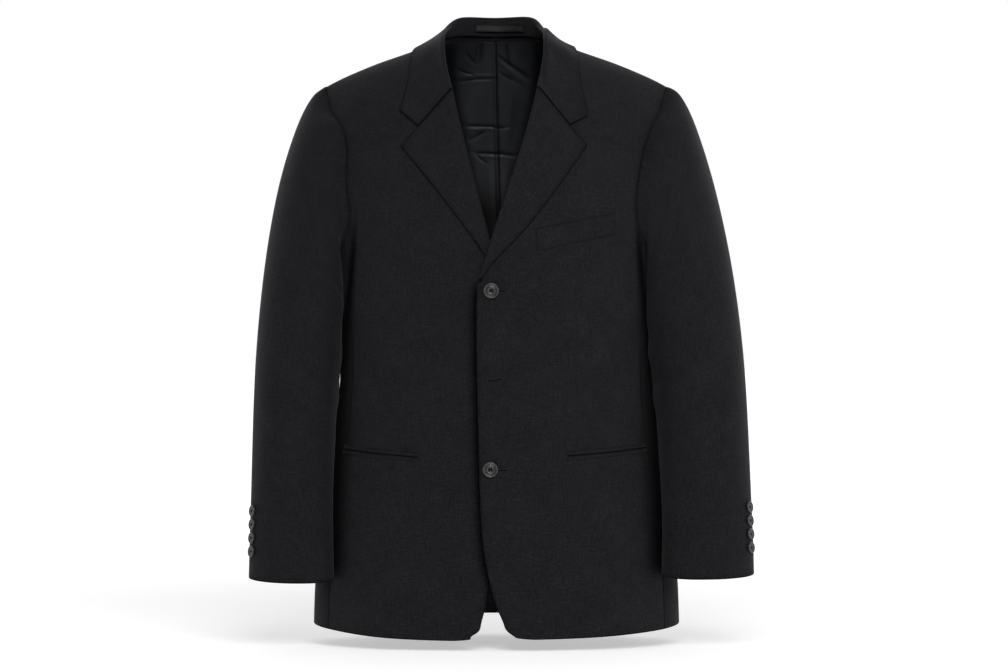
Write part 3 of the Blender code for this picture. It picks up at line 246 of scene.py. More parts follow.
# The largest folds: soft bands on the trunk as angle, height, half width, half length and depth.
TRUNK_FOLDS = columns("angle z width length depth lean", [
    (34.0, -0.700, 9.0, 0.120, 0.0026, 4.0),
    (-36.0, -0.690, 9.0, 0.130, 0.0026, -4.0),
    (150.0, -0.660, 10.0, 0.150, 0.0045, 6.0),
    (-150.0, -0.650, 10.0, 0.150, 0.0045, -6.0),
    (141.0, -0.240, 7.0, 0.090, 0.0030, -10.0),
    (-141.0, -0.240, 7.0, 0.090, 0.0030, 10.0),
])
SLEEVE_FOLDS = columns(
    "angle station width length depth",
    [(150.0, 7.4, 34.0, 0.34, 0.0026), (205.0, 8.3, 34.0, 0.34, 0.0024), (60.0, 11.2, 26.0, 1.20, 0.0016)],
)

POCKET_LENGTH = 41.0  # as an angle round the trunk, in degrees
POCKETS = {"left": (0.0905, -0.5517), "right": (-0.0999, -0.5536)}
POCKET_RISE = 0.009
JET_HEIGHT = 0.0050
JET_SPACE = 0.0012  # the mouth between the two jets
WELT_INNER = (0.0509, -0.2916, -0.2630)
WELT_OUTER = (0.1538, -0.2689, -0.2409)
LOOP_ENDS = (-0.030, 0.038)
LOOP_RISE = (0.24, 0.46, 0.68)  # its lower edge, middle and upper edge, as shares of the stand's height
LOOP_BOW = 0.0022
LOOP_LIFT = 0.0008

BUTTON_RADIUS = 0.0100
CUFF_BUTTON_RADIUS = 0.0075
BUTTON_STANDOFF = 0.0006
FRONT_BUTTONS = {"button_front_upper": (-0.0064, -0.3413), "button_front_lower": (-0.0076, -0.5692)}
CUFF_BUTTON_ANGLE = 24.0
CUFF_BUTTON_FIRST = 0.036  # height of the lowest one's centre above the cuff
CUFF_BUTTON_STEP = 0.0172

SIDES = {"left": 1.0, "right": -1.0}


# ---------------------------------------------------------------- curves through tables
def spline(knots, values, at):
    """A natural cubic spline through the knots, read at `at`, and straight past its ends."""
    knots, values, x = (np.asarray(value, float) for value in (knots, values, at))
    step = np.diff(knots)
    slope = np.diff(values) / step
    count = len(knots)
    system, right = np.eye(count), np.zeros(count)
    for i in range(1, count - 1):
        system[i, i - 1 : i + 2] = step[i - 1], 2 * (step[i - 1] + step[i]), step[i]
        right[i] = 6 * (slope[i] - slope[i - 1])
    bend = np.linalg.solve(system, right)
    inside = np.clip(x, knots[0], knots[-1])
    i = np.clip(np.searchsorted(knots, inside) - 1, 0, count - 2)
    low, high, h = inside - knots[i], knots[i + 1] - inside, step[i]
    curve = (bend[i] * high**3 + bend[i + 1] * low**3) / (6 * h)
    curve = curve + (values[i] / h - bend[i] * h / 6) * high
    curve = curve + (values[i + 1] / h - bend[i + 1] * h / 6) * low
    start = slope[0] - step[0] * (2 * bend[0] + bend[1]) / 6
    end = slope[-1] + step[-1] * (bend[-2] + 2 * bend[-1]) / 6
    return curve + np.minimum(x - knots[0], 0) * start + np.maximum(x - knots[-1], 0) * end


def read(table, key, name, at):
    """One column of a table, read smoothly at `at` in its key column."""
    return spline(table[key], table[name], at)


def ease(low, high, x):
    """0 below low and 1 above high, smoothly between."""
    t = np.clip((np.asarray(x, float) - low) / (high - low), 0, 1)
    return t * t * (3 - 2 * t)


def lerp(a, b, t):
    return a + (b - a) * t


def signed_power(value, power):
    return np.sign(value) * np.abs(value) ** power


def unit(vectors):
    return vectors / np.linalg.norm(vectors, axis=-1, keepdims=True)


def bell(x, width):
    return np.exp(-((x / width) ** 2))


# ---------------------------------------------------------------- the trunk's form
def section_fall(level, x):
    """How far a section falls below its level: not under the arms, like the shoulder seam at the top."""
    rise = np.clip((level - SLOPE_BASE) / (SHOULDER_PEAK - SLOPE_BASE), 0, 1)
    return read(SHOULDER, "x", "fall", np.abs(x)) * rise**FALL_POWER


def level_of(climb):
    """The section height and its share of full depth, from the cloth's length up the garment."""
    turn = np.clip((climb - DOME_BASE) / DOME_LENGTH, 0, 1) * math.pi / 2
    level = np.where(climb > DOME_BASE, DOME_BASE + (SHOULDER_PEAK - DOME_BASE) * np.sin(turn), climb)
    return level, np.where(climb > DOME_BASE, np.cos(turn), 1.0)


def climb_of(level):
    turn = np.arcsin(np.clip((level - DOME_BASE) / (SHOULDER_PEAK - DOME_BASE), 0, 1))
    return np.where(level > DOME_BASE, DOME_BASE + turn / (math.pi / 2) * DOME_LENGTH, level)


def trunk(angle, climb):
    """A point of the trunk: angle 0 is the front, +90 degrees the wearer's left, 180 the back."""
    angle, climb = np.broadcast_arrays(np.asarray(angle, float), np.asarray(climb, float))
    level, depth_share = level_of(climb)
    half_width = read(TRUNK, "z", "half_width", level)
    power = 2 / read(TRUNK, "z", "power", level)
    across, ahead = np.sin(angle), np.cos(angle)
    front, back = (read(TRUNK, "z", end + "_depth", level) for end in ("front", "back"))
    x = half_width * signed_power(across, power)
    y = -np.where(ahead > 0, front, back) * depth_share * signed_power(ahead, power)
    y = y + SHOULDER_Y * ease(DOME_BASE, SHOULDER_PEAK, level)
    return np.stack([x, y, level - section_fall(level, x)], -1)


def trunk_normal(angle, climb):
    """The outward direction there."""
    small_angle, small_climb = 0.004, 0.0015
    climb = np.minimum(climb, TRUNK_TOP - small_climb)
    along = trunk(angle + small_angle, climb) - trunk(angle - small_angle, climb)
    up = trunk(angle, climb + small_climb) - trunk(angle, climb - small_climb)
    return unit(np.cross(along, up))


def plain_folds(angle, climb):
    """Depth of the part's own soft folds, outwards."""
    total = np.zeros(np.broadcast(angle, climb).shape)
    for fold in rows_of(TRUNK_FOLDS):
        down = (climb - fold["z"]) / fold["length"]
        off = np.degrees(angle) - fold["angle"] - fold["lean"] * down
        off = (off + 180) % 360 - 180
        total = total + fold["depth"] * np.exp(-((off / fold["width"]) ** 2) - down**2)
    return total


def trunk_folds(angle, climb):
    """The part's own folds with the finer creases."""
    turned = (np.asarray(angle, float) + math.pi) % (2 * math.pi) - math.pi
    return plain_folds(angle, climb) + creases(TRUNK_CREASES, turned * TRUNK_METRES, climb)


def on_trunk(angle, climb, lay=0.0):
    """A point lay metres outside the trunk's form."""
    lay = np.asarray(lay, float) + trunk_folds(angle, climb)
    return trunk(angle, climb) + trunk_normal(angle, climb) * lay[..., None]


def angle_at(x, climb):
    """The angle from the front at which the trunk is x to the side."""
    level = level_of(climb)[0]
    share = np.clip(np.abs(x) / read(TRUNK, "z", "half_width", level), 0, 1)
    return np.sign(x) * np.arcsin(share ** (read(TRUNK, "z", "power", level) / 2))


def climb_at(x, z):
    """The cloth's climb at a point of the front view."""
    x, z = np.broadcast_arrays(np.asarray(x, float), np.asarray(z, float))
    level = z.copy()
    for _ in range(30):
        level = np.minimum(z + section_fall(level, x), SHOULDER_PEAK)
    return climb_of(level)


def nearest(points, rounds=25):
    """The angle and climb of the trunk's form nearest to each point, and the point's height above it."""
    x, y, z = np.moveaxis(points, -1, 0)
    climb = climb_at(x, z)
    ahead = angle_at(x, climb)
    angle = np.where(y > SHOULDER_Y, np.where(x < 0, -1.0, 1.0) * math.pi - ahead, ahead)
    small_angle, small_climb = 0.003, 0.001
    for _ in range(rounds):
        inner = np.minimum(climb, TRUNK_TOP - small_climb)
        across = trunk(angle + small_angle, inner) - trunk(angle - small_angle, inner)
        up = trunk(angle, inner + small_climb) - trunk(angle, inner - small_climb)
        across, up = across / (2 * small_angle), up / (2 * small_climb)
        left = points - trunk(angle, climb)
        aa, au, uu = (across**2).sum(-1), (across * up).sum(-1), (up**2).sum(-1)
        ra, ru = (left * across).sum(-1), (left * up).sum(-1)
        whole = np.maximum(aa * uu - au**2, 1e-12)
        angle = angle + np.clip((ra * uu - ru * au) / whole, -0.08, 0.08)
        climb = np.minimum(climb + np.clip((ru * aa - ra * au) / whole, -0.02, 0.02), TRUNK_TOP)
    height = ((points - trunk(angle, climb)) * trunk_normal(angle, climb)).sum(-1)
    return angle, climb, height


def held_off(points, least):
    """Points nearer than `least` to the trunk's form are moved straight out to it."""
    angle, climb, height = nearest(points)
    return points + trunk_normal(angle, climb) * np.maximum(least(angle, climb) - height, 0)[..., None]


def overlap_lay(side, x, climb):
    """How far the fronts are moved out or in so that one passes over the other."""
    share = (1 - ease(*OVERLAP_FADE, np.abs(x - FRONT_CENTRE))) * (1 - ease(*OVERLAP_TOP, climb))
    return (OVER_LAY if side == "left" else UNDER_LAY) * share


def on_front(side, x, z, lay=0.0):
    """A point of one front, given in front view, lay metres outside the front panel's face."""
    climb = climb_at(x, z)
    return on_trunk(angle_at(x, climb), climb, overlap_lay(side, x, climb) + lay)


# ---------------------------------------------------------------- the armhole seam
def armhole_loop(side):
    """One side's seam as (unsigned angle, climb): from the top down the front and up the back."""
    climb = climb_of(np.array(ARMHOLE["z"]))
    front = angle_at(np.array(ARMHOLE[side + "_front"]), climb)
    back = math.pi - angle_at(np.array(ARMHOLE["back"]), climb)
    angle = np.concatenate([[math.pi / 2], front[::-1], back[1:], [math.pi / 2]])
    climb = np.concatenate([[TRUNK_TOP], climb[::-1], climb[1:], [TRUNK_TOP]])
    length = travelled(trunk(angle, climb), 0)
    padded = np.concatenate([length[:-1] - length[-1], length, length[1:] + length[-1]])
    fine = np.linspace(0, length[-1], 241)

    def around(values):
        return spline(padded, np.concatenate([values[:-1], values, values[1:]]), fine)

    return np.stack([around(angle), np.minimum(around(climb), TRUNK_TOP)], -1)


def armhole_angle(side, climb, at_front):
    """The angle of the armhole's front or back branch at a height of the cloth."""
    loop = armhole_loop(side)
    bottom = int(np.argmin(loop[:, 1]))
    branch = loop[: bottom + 1][::-1] if at_front else loop[bottom:]
    return SIDES[side] * np.interp(climb, branch[:, 1], branch[:, 0])


def meets_armhole(side, angle, at_front):
    """The height of the cloth at which a side panel's seam runs into the armhole."""
    climb = np.linspace(ARMHOLE["z"][0], -0.15, 156)
    past = np.abs(armhole_angle(side, climb, at_front)) - angle
    return climb[np.argmax(past <= 0 if at_front else past >= 0)]


def armhole_floor(side, angle):
    """The climb of the armhole's bottom at an angle between its two side seams."""
    loop = armhole_loop(side)
    low = loop[loop[:, 1] < -0.23]
    order = np.argsort(low[:, 0])
    return np.interp(np.abs(angle), low[order, 0], low[order, 1])


def hem_climb(angle):
    """The hem: lowest at the front edges and level from the sides round the back."""
    ahead = np.clip(np.cos(angle), 0, 1)
    behind = np.clip(-np.cos(angle), 0, 1)
    return HEM_SIDE - HEM_FALL * ahead**1.5 + HEM_RISE * behind


def lapel_leg(z):
    """How much cloth of the lapel lies behind its roll."""
    return lerp(0.0012, LAPEL_LEG, ease(BREAK_Z, BREAK_Z + 0.06, z))


def roll_radius(z):
    """The lapel rolls more softly towards the collar."""
    return lerp(0.0013, 0.0030, ease(BREAK_Z, GORGE_Z, z))


def neck_seam(side, at_front):
    """One panel's neck seam up to the shoulder, as angle and climb, just outside the collar's foot."""
    at = SIDES[side] * (np.linspace(1.0, 0.35, 53) if at_front else np.linspace(0.0, 0.75, 61))
    foot = collar_middle(at, held=False)[:, 0]
    tangent = np.gradient(foot, axis=0)
    angle, climb = nearest(foot)[:2]
    away = unit(np.cross(trunk_normal(angle, climb), tangent))
    centre = np.array([NECK_CENTRE, SHOULDER_Y, 0.0])
    away = away * np.where(((foot - centre) * away).sum(1) < 0, -1.0, 1.0)[:, None]
    gap = SEAM_GAP + 0.0003 + COLLAR_WALL / 2 * (1 - ease(0.84, 1.0, np.abs(at)))
    angle, climb = nearest(foot + away * gap[:, None])[:2]
    own = (np.abs(angle) < math.pi / 2) == at_front
    angle, climb = angle[own], climb[own]
    last = abs(float(angle_at(trunk(angle[-1], climb[-1])[0], TRUNK_TOP)))
    angle = np.append(angle, SIDES[side] * (last if at_front else math.pi - last))
    return angle, np.maximum.accumulate(np.append(climb, TRUNK_TOP))


def front_boundary(side):
    """The front panel's inner edge above the hem's corner, as angle and climb."""
    sign = SIDES[side]
    edge_z = np.array(FRONT_EDGE["z"][10:])
    edge_x = FRONT_CENTRE - sign * np.array(FRONT_EDGE[side][10:])
    rolled = []
    for t in np.linspace(0, 1, 25):
        roll, edge, radius, leg = lapel_line(side, t)
        room = SEAM_GAP + 0.0014 * (1 - ease(0.0, 0.40, t))
        rolled.append(roll + unit(edge - roll) * (radius + leg + room))
    rolled = np.array([(rolled[0][0], BREAK_Z + 0.0008), *rolled])
    x = np.concatenate([edge_x, rolled[:, 0]])
    climb = climb_at(x, np.concatenate([edge_z, rolled[:, 1]]))
    angle = angle_at(x, climb)
    neck_angle, neck_climb = neck_seam(side, True)
    above = neck_climb > climb[-1] + 0.002
    climb = np.maximum.accumulate(np.concatenate([climb, neck_climb[above]]))
    return np.concatenate([angle, neck_angle[above]]), climb


def on_form(x, z, behind, lay):
    """A point of the trunk's form given in front view, at the front or the back."""
    climb = climb_at(x, z)
    angle = angle_at(x, climb)
    if behind:
        angle = (-1.0 if x < 0 else 1.0) * math.pi - angle
    cover = 0.0 if behind else overlap_lay("left" if x > 0 else "right", x, climb)
    return trunk(angle, climb) + trunk_normal(angle, climb) * (lay + cover)


# ---------------------------------------------------------------- sleeves
def sleeve_section(side, angle, station):
    """Points of the sleeve's outer face: angle 0 is the outer side and 90 degrees the front."""
    angle, station = np.broadcast_arrays(np.asarray(angle, float), np.asarray(station, float))
    keys = np.arange(len(SLEEVE["outer_x"]))
    value = {name: spline(keys, SLEEVE[name], station) for name in SLEEVE}
    shift = SLEEVE_SHIFT[side]
    lift = read(shift, "station", "lift", station)
    outer_x = value["outer_x"] + read(shift, "station", "outer", station)
    outer_x = outer_x + SLEEVE_FULLNESS * ease(1.0, 4.0, station)
    inner_x = value["inner_x"] + read(shift, "station", "inner", station)
    across, ahead = (signed_power(part, 2 / SLEEVE_POWER) for part in (np.cos(angle), np.sin(angle)))
    depth = np.where(ahead > 0, value["front_depth"], value["back_depth"])
    x = lerp(inner_x, outer_x, (1 + across) / 2)
    z = lerp(value["inner_z"] + lift, value["outer_z"] + lift, (1 + across) / 2)
    y = value["centre_y"] - depth * ahead
    x = x - SLEEVE_LEAN * depth * np.maximum(ahead, 0) ** 2 * ease(3, 6, station)
    z = z - CUFF_DIP * ease(9, 13, station) * np.maximum(ahead, 0)
    share = np.clip(value["seam_share"], 0, 1)
    return np.stack([x, y, z], -1) + seam_offset(side, angle) * share[..., None]


def along_armhole(points, angle):
    """Points of the armhole seam, read at angles round the sleeve."""
    first = rows_of(SLEEVE)[0]
    middle_z = (first["outer_z"] + first["inner_z"]) / 2
    half_z = (first["outer_z"] - first["inner_z"]) / 2
    depth = np.where(points[:, 1] < first["centre_y"], first["front_depth"], first["back_depth"])
    turned = np.arctan2((first["centre_y"] - points[:, 1]) / depth, (points[:, 2] - middle_z) / half_z)
    order = np.argsort(turned)
    read_at = [np.interp(angle, turned[order], points[order, k], period=2 * math.pi) for k in range(3)]
    return np.stack(read_at, -1)


def seam_offset(side, angle):
    """How the armhole seam departs from the first section's plain oval."""
    loop = armhole_loop(side)
    points = on_trunk(loop[:, 0], loop[:, 1])
    normal = trunk_normal(loop[:, 0], loop[:, 1])
    away = unit(np.cross(np.gradient(points, axis=0), normal))
    away = away * np.sign(((points.mean(0) - points) * away).sum(1))[:, None]
    points = points + away * (SEAM_GAP + 0.0002) + normal * 0.0004
    turned = (np.asarray(angle) + math.pi) % (2 * math.pi) - math.pi
    first = rows_of(SLEEVE)[0]
    across, ahead = (signed_power(part, 2 / SLEEVE_POWER) for part in (np.cos(turned), np.sin(turned)))
    depth = np.where(ahead > 0, first["front_depth"], first["back_depth"])
    x, z = (lerp(first["inner_" + key], first["outer_" + key], (1 + across) / 2) for key in "xz")
    return along_armhole(points, turned) - np.stack([x, first["centre_y"] - depth * ahead, z], -1)


def sleeve_folds(angle, station):
    total = np.zeros(np.broadcast(angle, station).shape)
    for fold in rows_of(SLEEVE_FOLDS):
        off = (np.degrees(angle) - fold["angle"] + 180) % 360 - 180
        down = (station - fold["station"]) / fold["length"]
        total = total + fold["depth"] * np.exp(-((off / fold["width"]) ** 2) - down**2)
    return total


# ---------------------------------------------------------------- cloth shells
def shares(length, count, near=(0.0003, 0.0008, 0.0016, 0.0030), first=True, last=True):
    """Positions from 0 to 1 along a length, evenly spaced but closer beside its ends."""
    close = np.array(near) / length
    middle = np.linspace(0, 1, count + 1)
    start = middle[1:-1][(middle[1:-1] > close[-1] * 1.3) | (not first)]
    kept = start[(start < 1 - close[-1] * 1.3) | (not last)]
    return np.concatenate([[0], close if first else [], kept, 1 - close[::-1] if last else [], [1]])


def grid_normals(grid):
    """Unit normals of a grid of points, from the differences along its rows and columns."""
    return unit(np.cross(np.gradient(grid, axis=1), np.gradient(grid, axis=0)))


def travelled(grid, axis):
    """Distances along the rows or columns of a grid of points."""
    step = np.linalg.norm(np.diff(grid, axis=axis), axis=-1)
    return np.concatenate([np.zeros_like(np.take(step, [0], axis)), np.cumsum(step, axis)], axis)


def mesh_from(name, points, faces, uv=None, edge=None):
    """An object from arrays, with UVs in metres of cloth and an edge attribute: painted shade near seams on
    cloth, the glow on the floor.
    """
    mesh = bpy.data.meshes.new(name)
    mesh.from_pydata(points.tolist(), [], faces if isinstance(faces, list) else faces.tolist())
    mesh.shade_smooth()
    if uv is not None:
        corner = np.empty(len(mesh.loops), np.int32)
        mesh.loops.foreach_get("vertex_index", corner)
        layer = mesh.uv_layers.new(name="cloth")
        layer.uv.foreach_set("vector", uv[corner].astype(np.float32).ravel())
    if edge is not None:
        mesh.attributes.new("edge", "FLOAT", "POINT").data.foreach_set("value", edge.astype(np.float32))
    obj = bpy.data.objects.new(name, mesh)
    bpy.context.scene.collection.objects.link(obj)
    return obj


def shell(name, middle, wall, material, relief=0.0, rim=0.0011, grain=0.5, normal=None, seam=1.0, shade=0.0):
    """A closed thin wall about a grid of middle points, rounded along its four edges.

    The shade is painted shade where cloth lies close under or over it; seam is how dark the painted shade
    along its own edges is.
    """
    rows, cols = middle.shape[:2]
    if normal is None:
        normal = grid_normals(middle)
    down, along = travelled(middle, 0), travelled(middle, 1)
    edge = np.minimum(np.minimum(down, down[-1:] - down), np.minimum(along, along[:, -1:] - along))
    half = wall / 2 * np.maximum(np.sqrt(1 - (1 - np.clip(edge / rim, 0, 1)) ** 2), 0.03)
    middle = middle + normal * (np.zeros((rows, cols)) + relief)[..., None]
    outer, inner = middle + normal * half[..., None], middle - normal * half[..., None]
    points = np.concatenate([outer.reshape(-1, 3), inner.reshape(-1, 3)])
    index = np.arange(rows * cols).reshape(rows, cols)
    a, b, c, d = index[:-1, :-1], index[:-1, 1:], index[1:, 1:], index[1:, :-1]
    top = np.stack([a, b, c, d], -1).reshape(-1, 4)
    below = top[:, ::-1] + rows * cols
    ring = np.concatenate([index[0, :-1], index[:-1, -1], index[-1, :0:-1], index[:0:-1, 0]])
    after = np.roll(ring, -1)
    rim_faces = np.stack([after, ring, ring + rows * cols, after + rows * cols], -1)
    faces = np.concatenate([top, below, rim_faces])
    a, b, c, d = (points[faces[:, k]] for k in range(4))
    if (a * (np.cross(b, c) + np.cross(c, d) + np.cross(d, b))).sum() < 0:
        faces = faces[:, ::-1]
    u = along - along[:, -1:] * grain
    v = np.broadcast_to(down[:, cols // 2 : cols // 2 + 1], u.shape)
    uv = np.concatenate([np.stack([u, v], -1).reshape(-1, 2)] * 2)
    # painted shade: darker beside the piece's own seams and edges, and wherever shade is given
    near = np.maximum(seam * np.exp(-edge / EDGE_SHADE_REACH), shade).reshape(-1)
    return dress(mesh_from(name, points, faces, uv, np.concatenate([near, near])), material)


def dress(obj, material):
    obj.data.materials.append(material)
    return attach(obj, "root")


def cloth(obj, node):
    """The piece stands for one CAD node, which it hides."""
    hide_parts(node)
    return obj


def creases(table, u, v):
    """Soft troughs and ridges, each along a line through its own u and v."""
    total = np.zeros(np.broadcast(u, v).shape)
    for row in rows_of(table):
        turn = math.radians(row["lean"])
        off_u, off_v = u - row["u"], v - row["v"]
        along = off_u * math.sin(turn) + off_v * math.cos(turn)
        across = off_u * math.cos(turn) - off_v * math.sin(turn) - row["bow"] * along**2
        total = total + row["depth"] * np.exp(-((across / row["width"]) ** 2) - (along / row["length"]) ** 4)
    return total


def upsampled(grid, rows, cols, fine_rows, fine_cols):
    """A coarse grid of points read smoothly at finer rows and columns."""
    for knots, fine, axis in ((rows, fine_rows, 0), (cols, fine_cols, 1)):
        basis = np.stack([spline(knots, one, fine) for one in np.eye(len(knots))], -1)
        grid = np.moveaxis(np.tensordot(basis, grid, (1, axis)), 0, axis)
    return grid


def tube(points, radius, sides=6):
    """Points and faces of a round thread along a line of points."""
    points = np.asarray(points, float)
    ahead = unit(np.gradient(points, axis=0))
    helper = np.where(np.abs(ahead[:, 1:2]) < 0.9, [[0.0, 1.0, 0.0]], [[1.0, 0.0, 0.0]])
    across = unit(np.cross(ahead, helper))
    up = np.cross(across, ahead)
    count = len(points)
    size = np.broadcast_to(radius, count)[:, None]
    turns = np.linspace(0, 2 * math.pi, sides, endpoint=False)
    rings = [points + size * (across * math.cos(t) + up * math.sin(t)) for t in turns]
    faces = [tuple(range(sides))[::-1], tuple((count - 1) * sides + j for j in range(sides))]
    for i in range(0, (count - 1) * sides, sides):
        for j in range(sides):
            k = (j + 1) % sides
            faces.append((i + j, i + k, i + sides + k, i + sides + j))
    return np.stack(rings, 1).reshape(-1, 3), faces


def joined(name, parts, material):
    """One object from several (points, faces)."""
    points, faces, start = [], [], 0
    for found, sides in parts:
        points.append(found)
        faces += [tuple(i + start for i in face) for face in sides]
        start += len(found)
    return dress(mesh_from(name, np.concatenate(points), faces), material)


# ---------------------------------------------------------------- materials
class Graph:
    """The nodes of a material or world."""

    def __init__(self, block, shader, **values):
        block.use_nodes = True
        self.block, self.tree = block, block.node_tree
        self.shader = self.tree.nodes[shader]
        for key, value in values.items():
            self.shader.inputs[key.replace("_", " ")].default_value = value

    def add(self, kind, inputs=(), output=0, **settings):
        """A node whose inputs are values or other nodes' outputs; gives one of its outputs."""
        node = self.tree.nodes.new("ShaderNode" + kind)
        for key, value in settings.items():
            setattr(node, key, value)
        for key, value in dict(inputs).items():
            if hasattr(value, "is_linked"):
                self.tree.links.new(value, node.inputs[key])
            else:
                node.inputs[key].default_value = value
        return node.outputs[output]

    def give(self, **values):
        """Outputs linked to the shader's own inputs."""
        for key, value in values.items():
            self.tree.links.new(value, self.shader.inputs[key.replace("_", " ")])

    def math(self, operation, *values):
        return self.add("Math", enumerate(values), operation=operation)

    def noise(self, vector, scale, detail=2.0, stretch=(1, 1, 1), roughness=0.5):
        vector = self.add("Mapping", {"Vector": vector, "Scale": stretch}, "Vector")
        inputs = {"Vector": vector, "Scale": scale, "Detail": detail, "Roughness": roughness}
        return self.add("TexNoise", inputs, "Fac")

    def threads(self, vector, direction, pitch, distortion=1.5, **more):
        """Parallel ridges one thread apart."""
        inputs = {"Vector": vector, "Scale": 2 * math.pi / 20 / pitch, "Distortion": distortion, **more}
        return self.add("TexWave", inputs, "Fac", bands_direction=direction)

    def ramp(self, value, stops):
        shades = self.add("ValToRGB", {0: value}, "Color")
        elements = shades.node.color_ramp.elements
        while len(elements) < len(stops):
            elements.new(0.5)
        for element, (position, colour) in zip(elements, stops):
            element.position, element.color = position, (*colour, 1)
        return shades

    def shaded(self, colour, factor):
        """A colour multiplied by a value."""
        settings = {"data_type": "RGBA", "blend_type": "MULTIPLY"}
        return self.add("Mix", {0: 1.0, 6: colour, 7: factor}, 2, **settings)

    def painted_shading(self, depth):
        """Painted shade: 1 in the open and less where the mesh's nearness to a seam or its painted shade is
        high.
        """
        return self.math("MULTIPLY_ADD", self.add("Attribute", (), "Fac", attribute_name="edge"), -depth, 1.0)

    def bump(self, height, strength, distance):
        inputs = {"Height": height, "Strength": strength, "Distance": distance}
        self.give(Normal=self.add("Bump", inputs, "Normal"))


def new_material(name, **values):
    return Graph(bpy.data.materials.new(name), "Principled BSDF", **values)


def tint(colour, factor):
    return tuple(c * factor for c in colour)


THREAD_WAVE = {"Detail": 1.5, "Detail Scale": 0.6}


def wool_material(name, colour):
    """Smooth worsted: fine plain weave, short slubs both ways and a heathered tone."""
    look = new_material(name, Roughness=0.80, Sheen_Roughness=0.45, Sheen_Tint=SHEEN_TINT)
    vector = look.add("UVMap", (), "UV", uv_map="cloth")
    heather = look.noise(vector, 330.0, 3.0, roughness=0.7)
    slub_v = look.noise(vector, 60.0, 1.0, (15.0, 1.0, 1.0))
    slub_u = look.noise(vector, 60.0, 1.0, (1.0, 15.0, 1.0))
    mixed = look.math("ADD", slub_v, slub_u)
    mixed = look.math("MULTIPLY_ADD", heather, 2.0, mixed)
    mixed = look.math("MULTIPLY_ADD", look.noise(vector, 22.0, 2.0), 0.5, mixed)
    mixed = look.math("MULTIPLY", mixed, 1 / 4.5)
    shades = look.ramp(mixed, [(0.40, tint(colour, 0.35)), (0.50, colour), (0.62, tint(colour, 2.0))])
    # painted shade from the edge attribute darkens the colour, sheen and gloss
    dark = look.painted_shading(0.80)
    sheen, gloss = (look.math("MULTIPLY", dark, value) for value in (SHEEN, WOOL_GLOSS))
    look.give(Base_Color=look.shaded(shades, dark), Sheen_Weight=sheen, Specular_IOR_Level=gloss)
    warp, weft = (look.threads(vector, way, WEAVE_PITCH, **THREAD_WAVE) for way in "XY")
    weave = look.math("ADD", warp, weft)
    look.bump(look.math("MULTIPLY_ADD", heather, 1.4, weave), 0.30, 0.0003)
    return look.block


def satin_material(name, colour, gloss=0.32, rough=0.44):
    """Lining twill: a fine diagonal, a soft gloss and slightly cloudy tone."""
    look = new_material(name, Roughness=rough, Sheen_Weight=0.05, Sheen_Roughness=0.3, Anisotropic=0.4)
    vector = look.add("UVMap", (), "UV", uv_map="cloth")
    cloudy = look.noise(vector, 60.0, 3.0)
    fine = look.noise(vector, 900.0, 1.0, (1.0, 0.25, 1.0))
    tone = look.math("MULTIPLY_ADD", fine, 0.5, look.math("MULTIPLY", cloudy, 0.5))
    shades = look.ramp(tone, [(0.36, tint(colour, 0.78)), (0.64, tint(colour, 1.25))])
    # painted shade from the edge attribute darkens the colour and gloss
    dark = look.painted_shading(0.85)
    look.give(Base_Color=look.shaded(shades, dark), Specular_IOR_Level=look.math("MULTIPLY", dark, gloss))
    look.give(Roughness=look.math("MULTIPLY_ADD", fine, 0.16, rough - 0.08))
    look.bump(look.threads(vector, "DIAGONAL", TWILL_PITCH, 0.6), 0.12, 0.0002)
    return look.block


def button_material(name):
    """Turned grey horn: painted highlight on the raised rim and ring, painted shade in the groove and well,
    faint streaks.
    """
    shine = {"Specular_IOR_Level": 0.4, "Coat_Weight": 0.25, "Coat_Roughness": 0.2}
    look = new_material(name, Roughness=0.36, **shine)
    # the coordinates are shares of the radius, because the object is scaled by it
    place = look.add("TexCoord", (), "Object")
    x, y = (look.add("SeparateXYZ", {0: place}, axis) for axis in "XY")
    distance = look.math("SQRT", look.math("MULTIPLY_ADD", y, y, look.math("MULTIPLY", x, x)))
    streak = look.noise(place, 260.0, 3.0, (1.0, 0.35, 1.0))
    wobble = look.math("MULTIPLY_ADD", streak, 0.05, distance)
    # painted shade in the well and groove, painted highlight on the raised ring and rim, the horn's own tone
    # between
    dark, mid, pale = BUTTON_SHADED_AND_LIT_TONES
    rings = [(0.30, dark), (0.40, pale), (0.60, mid), (0.68, dark), (0.78, mid), (0.88, pale), (1.0, mid)]
    look.give(Base_Color=look.ramp(wobble, rings))
    return look.block


def thread_material(name, colour):
    look = new_material(name, Roughness=0.7, Specular_IOR_Level=0.06, Sheen_Weight=0.01)
    place = look.add("TexCoord", (), "Object")
    tone = look.noise(place, 2600.0, 2.0)
    look.give(Base_Color=look.ramp(tone, [(0.35, tint(colour, 0.7)), (0.65, tint(colour, 1.3))]))
    look.bump(look.threads(place, "DIAGONAL", TWIST_PITCH, **THREAD_WAVE), 0.4, 0.0001)
    return look.block


WEAVE_PITCH, TWILL_PITCH, TWIST_PITCH = 0.0008, 0.0006, 0.00035
WOOL_GLOSS = 0.13
SHEEN, SHEEN_TINT = 0.06, (0.90, 0.90, 1.0, 1.0)
WOOL_COLOUR = (0.0065, 0.0065, 0.0078)
LINING_COLOUR = (0.0112, 0.0126, 0.0150)
LOOP_COLOUR = (0.0090, 0.0108, 0.0104)
# the buttons' painted shade, own horn tone and painted highlight
BUTTON_SHADED_AND_LIT_TONES = ((0.003, 0.003, 0.004), (0.010, 0.010, 0.011), (0.038, 0.038, 0.040))

wool = wool_material("wool", WOOL_COLOUR)
satin = satin_material("lining", LINING_COLOUR)
tape = satin_material("tape", LOOP_COLOUR, 0.2, 0.6)
horn = button_material("button")
# near black: real thread, and also the painted shade in the pocket mouths and buttonhole slits
dark_thread_and_shadow = thread_material("thread_dark_and_shadow", (0.0008, 0.0008, 0.0008))
light_thread = thread_material("thread_light", (0.0250, 0.0250, 0.0262))

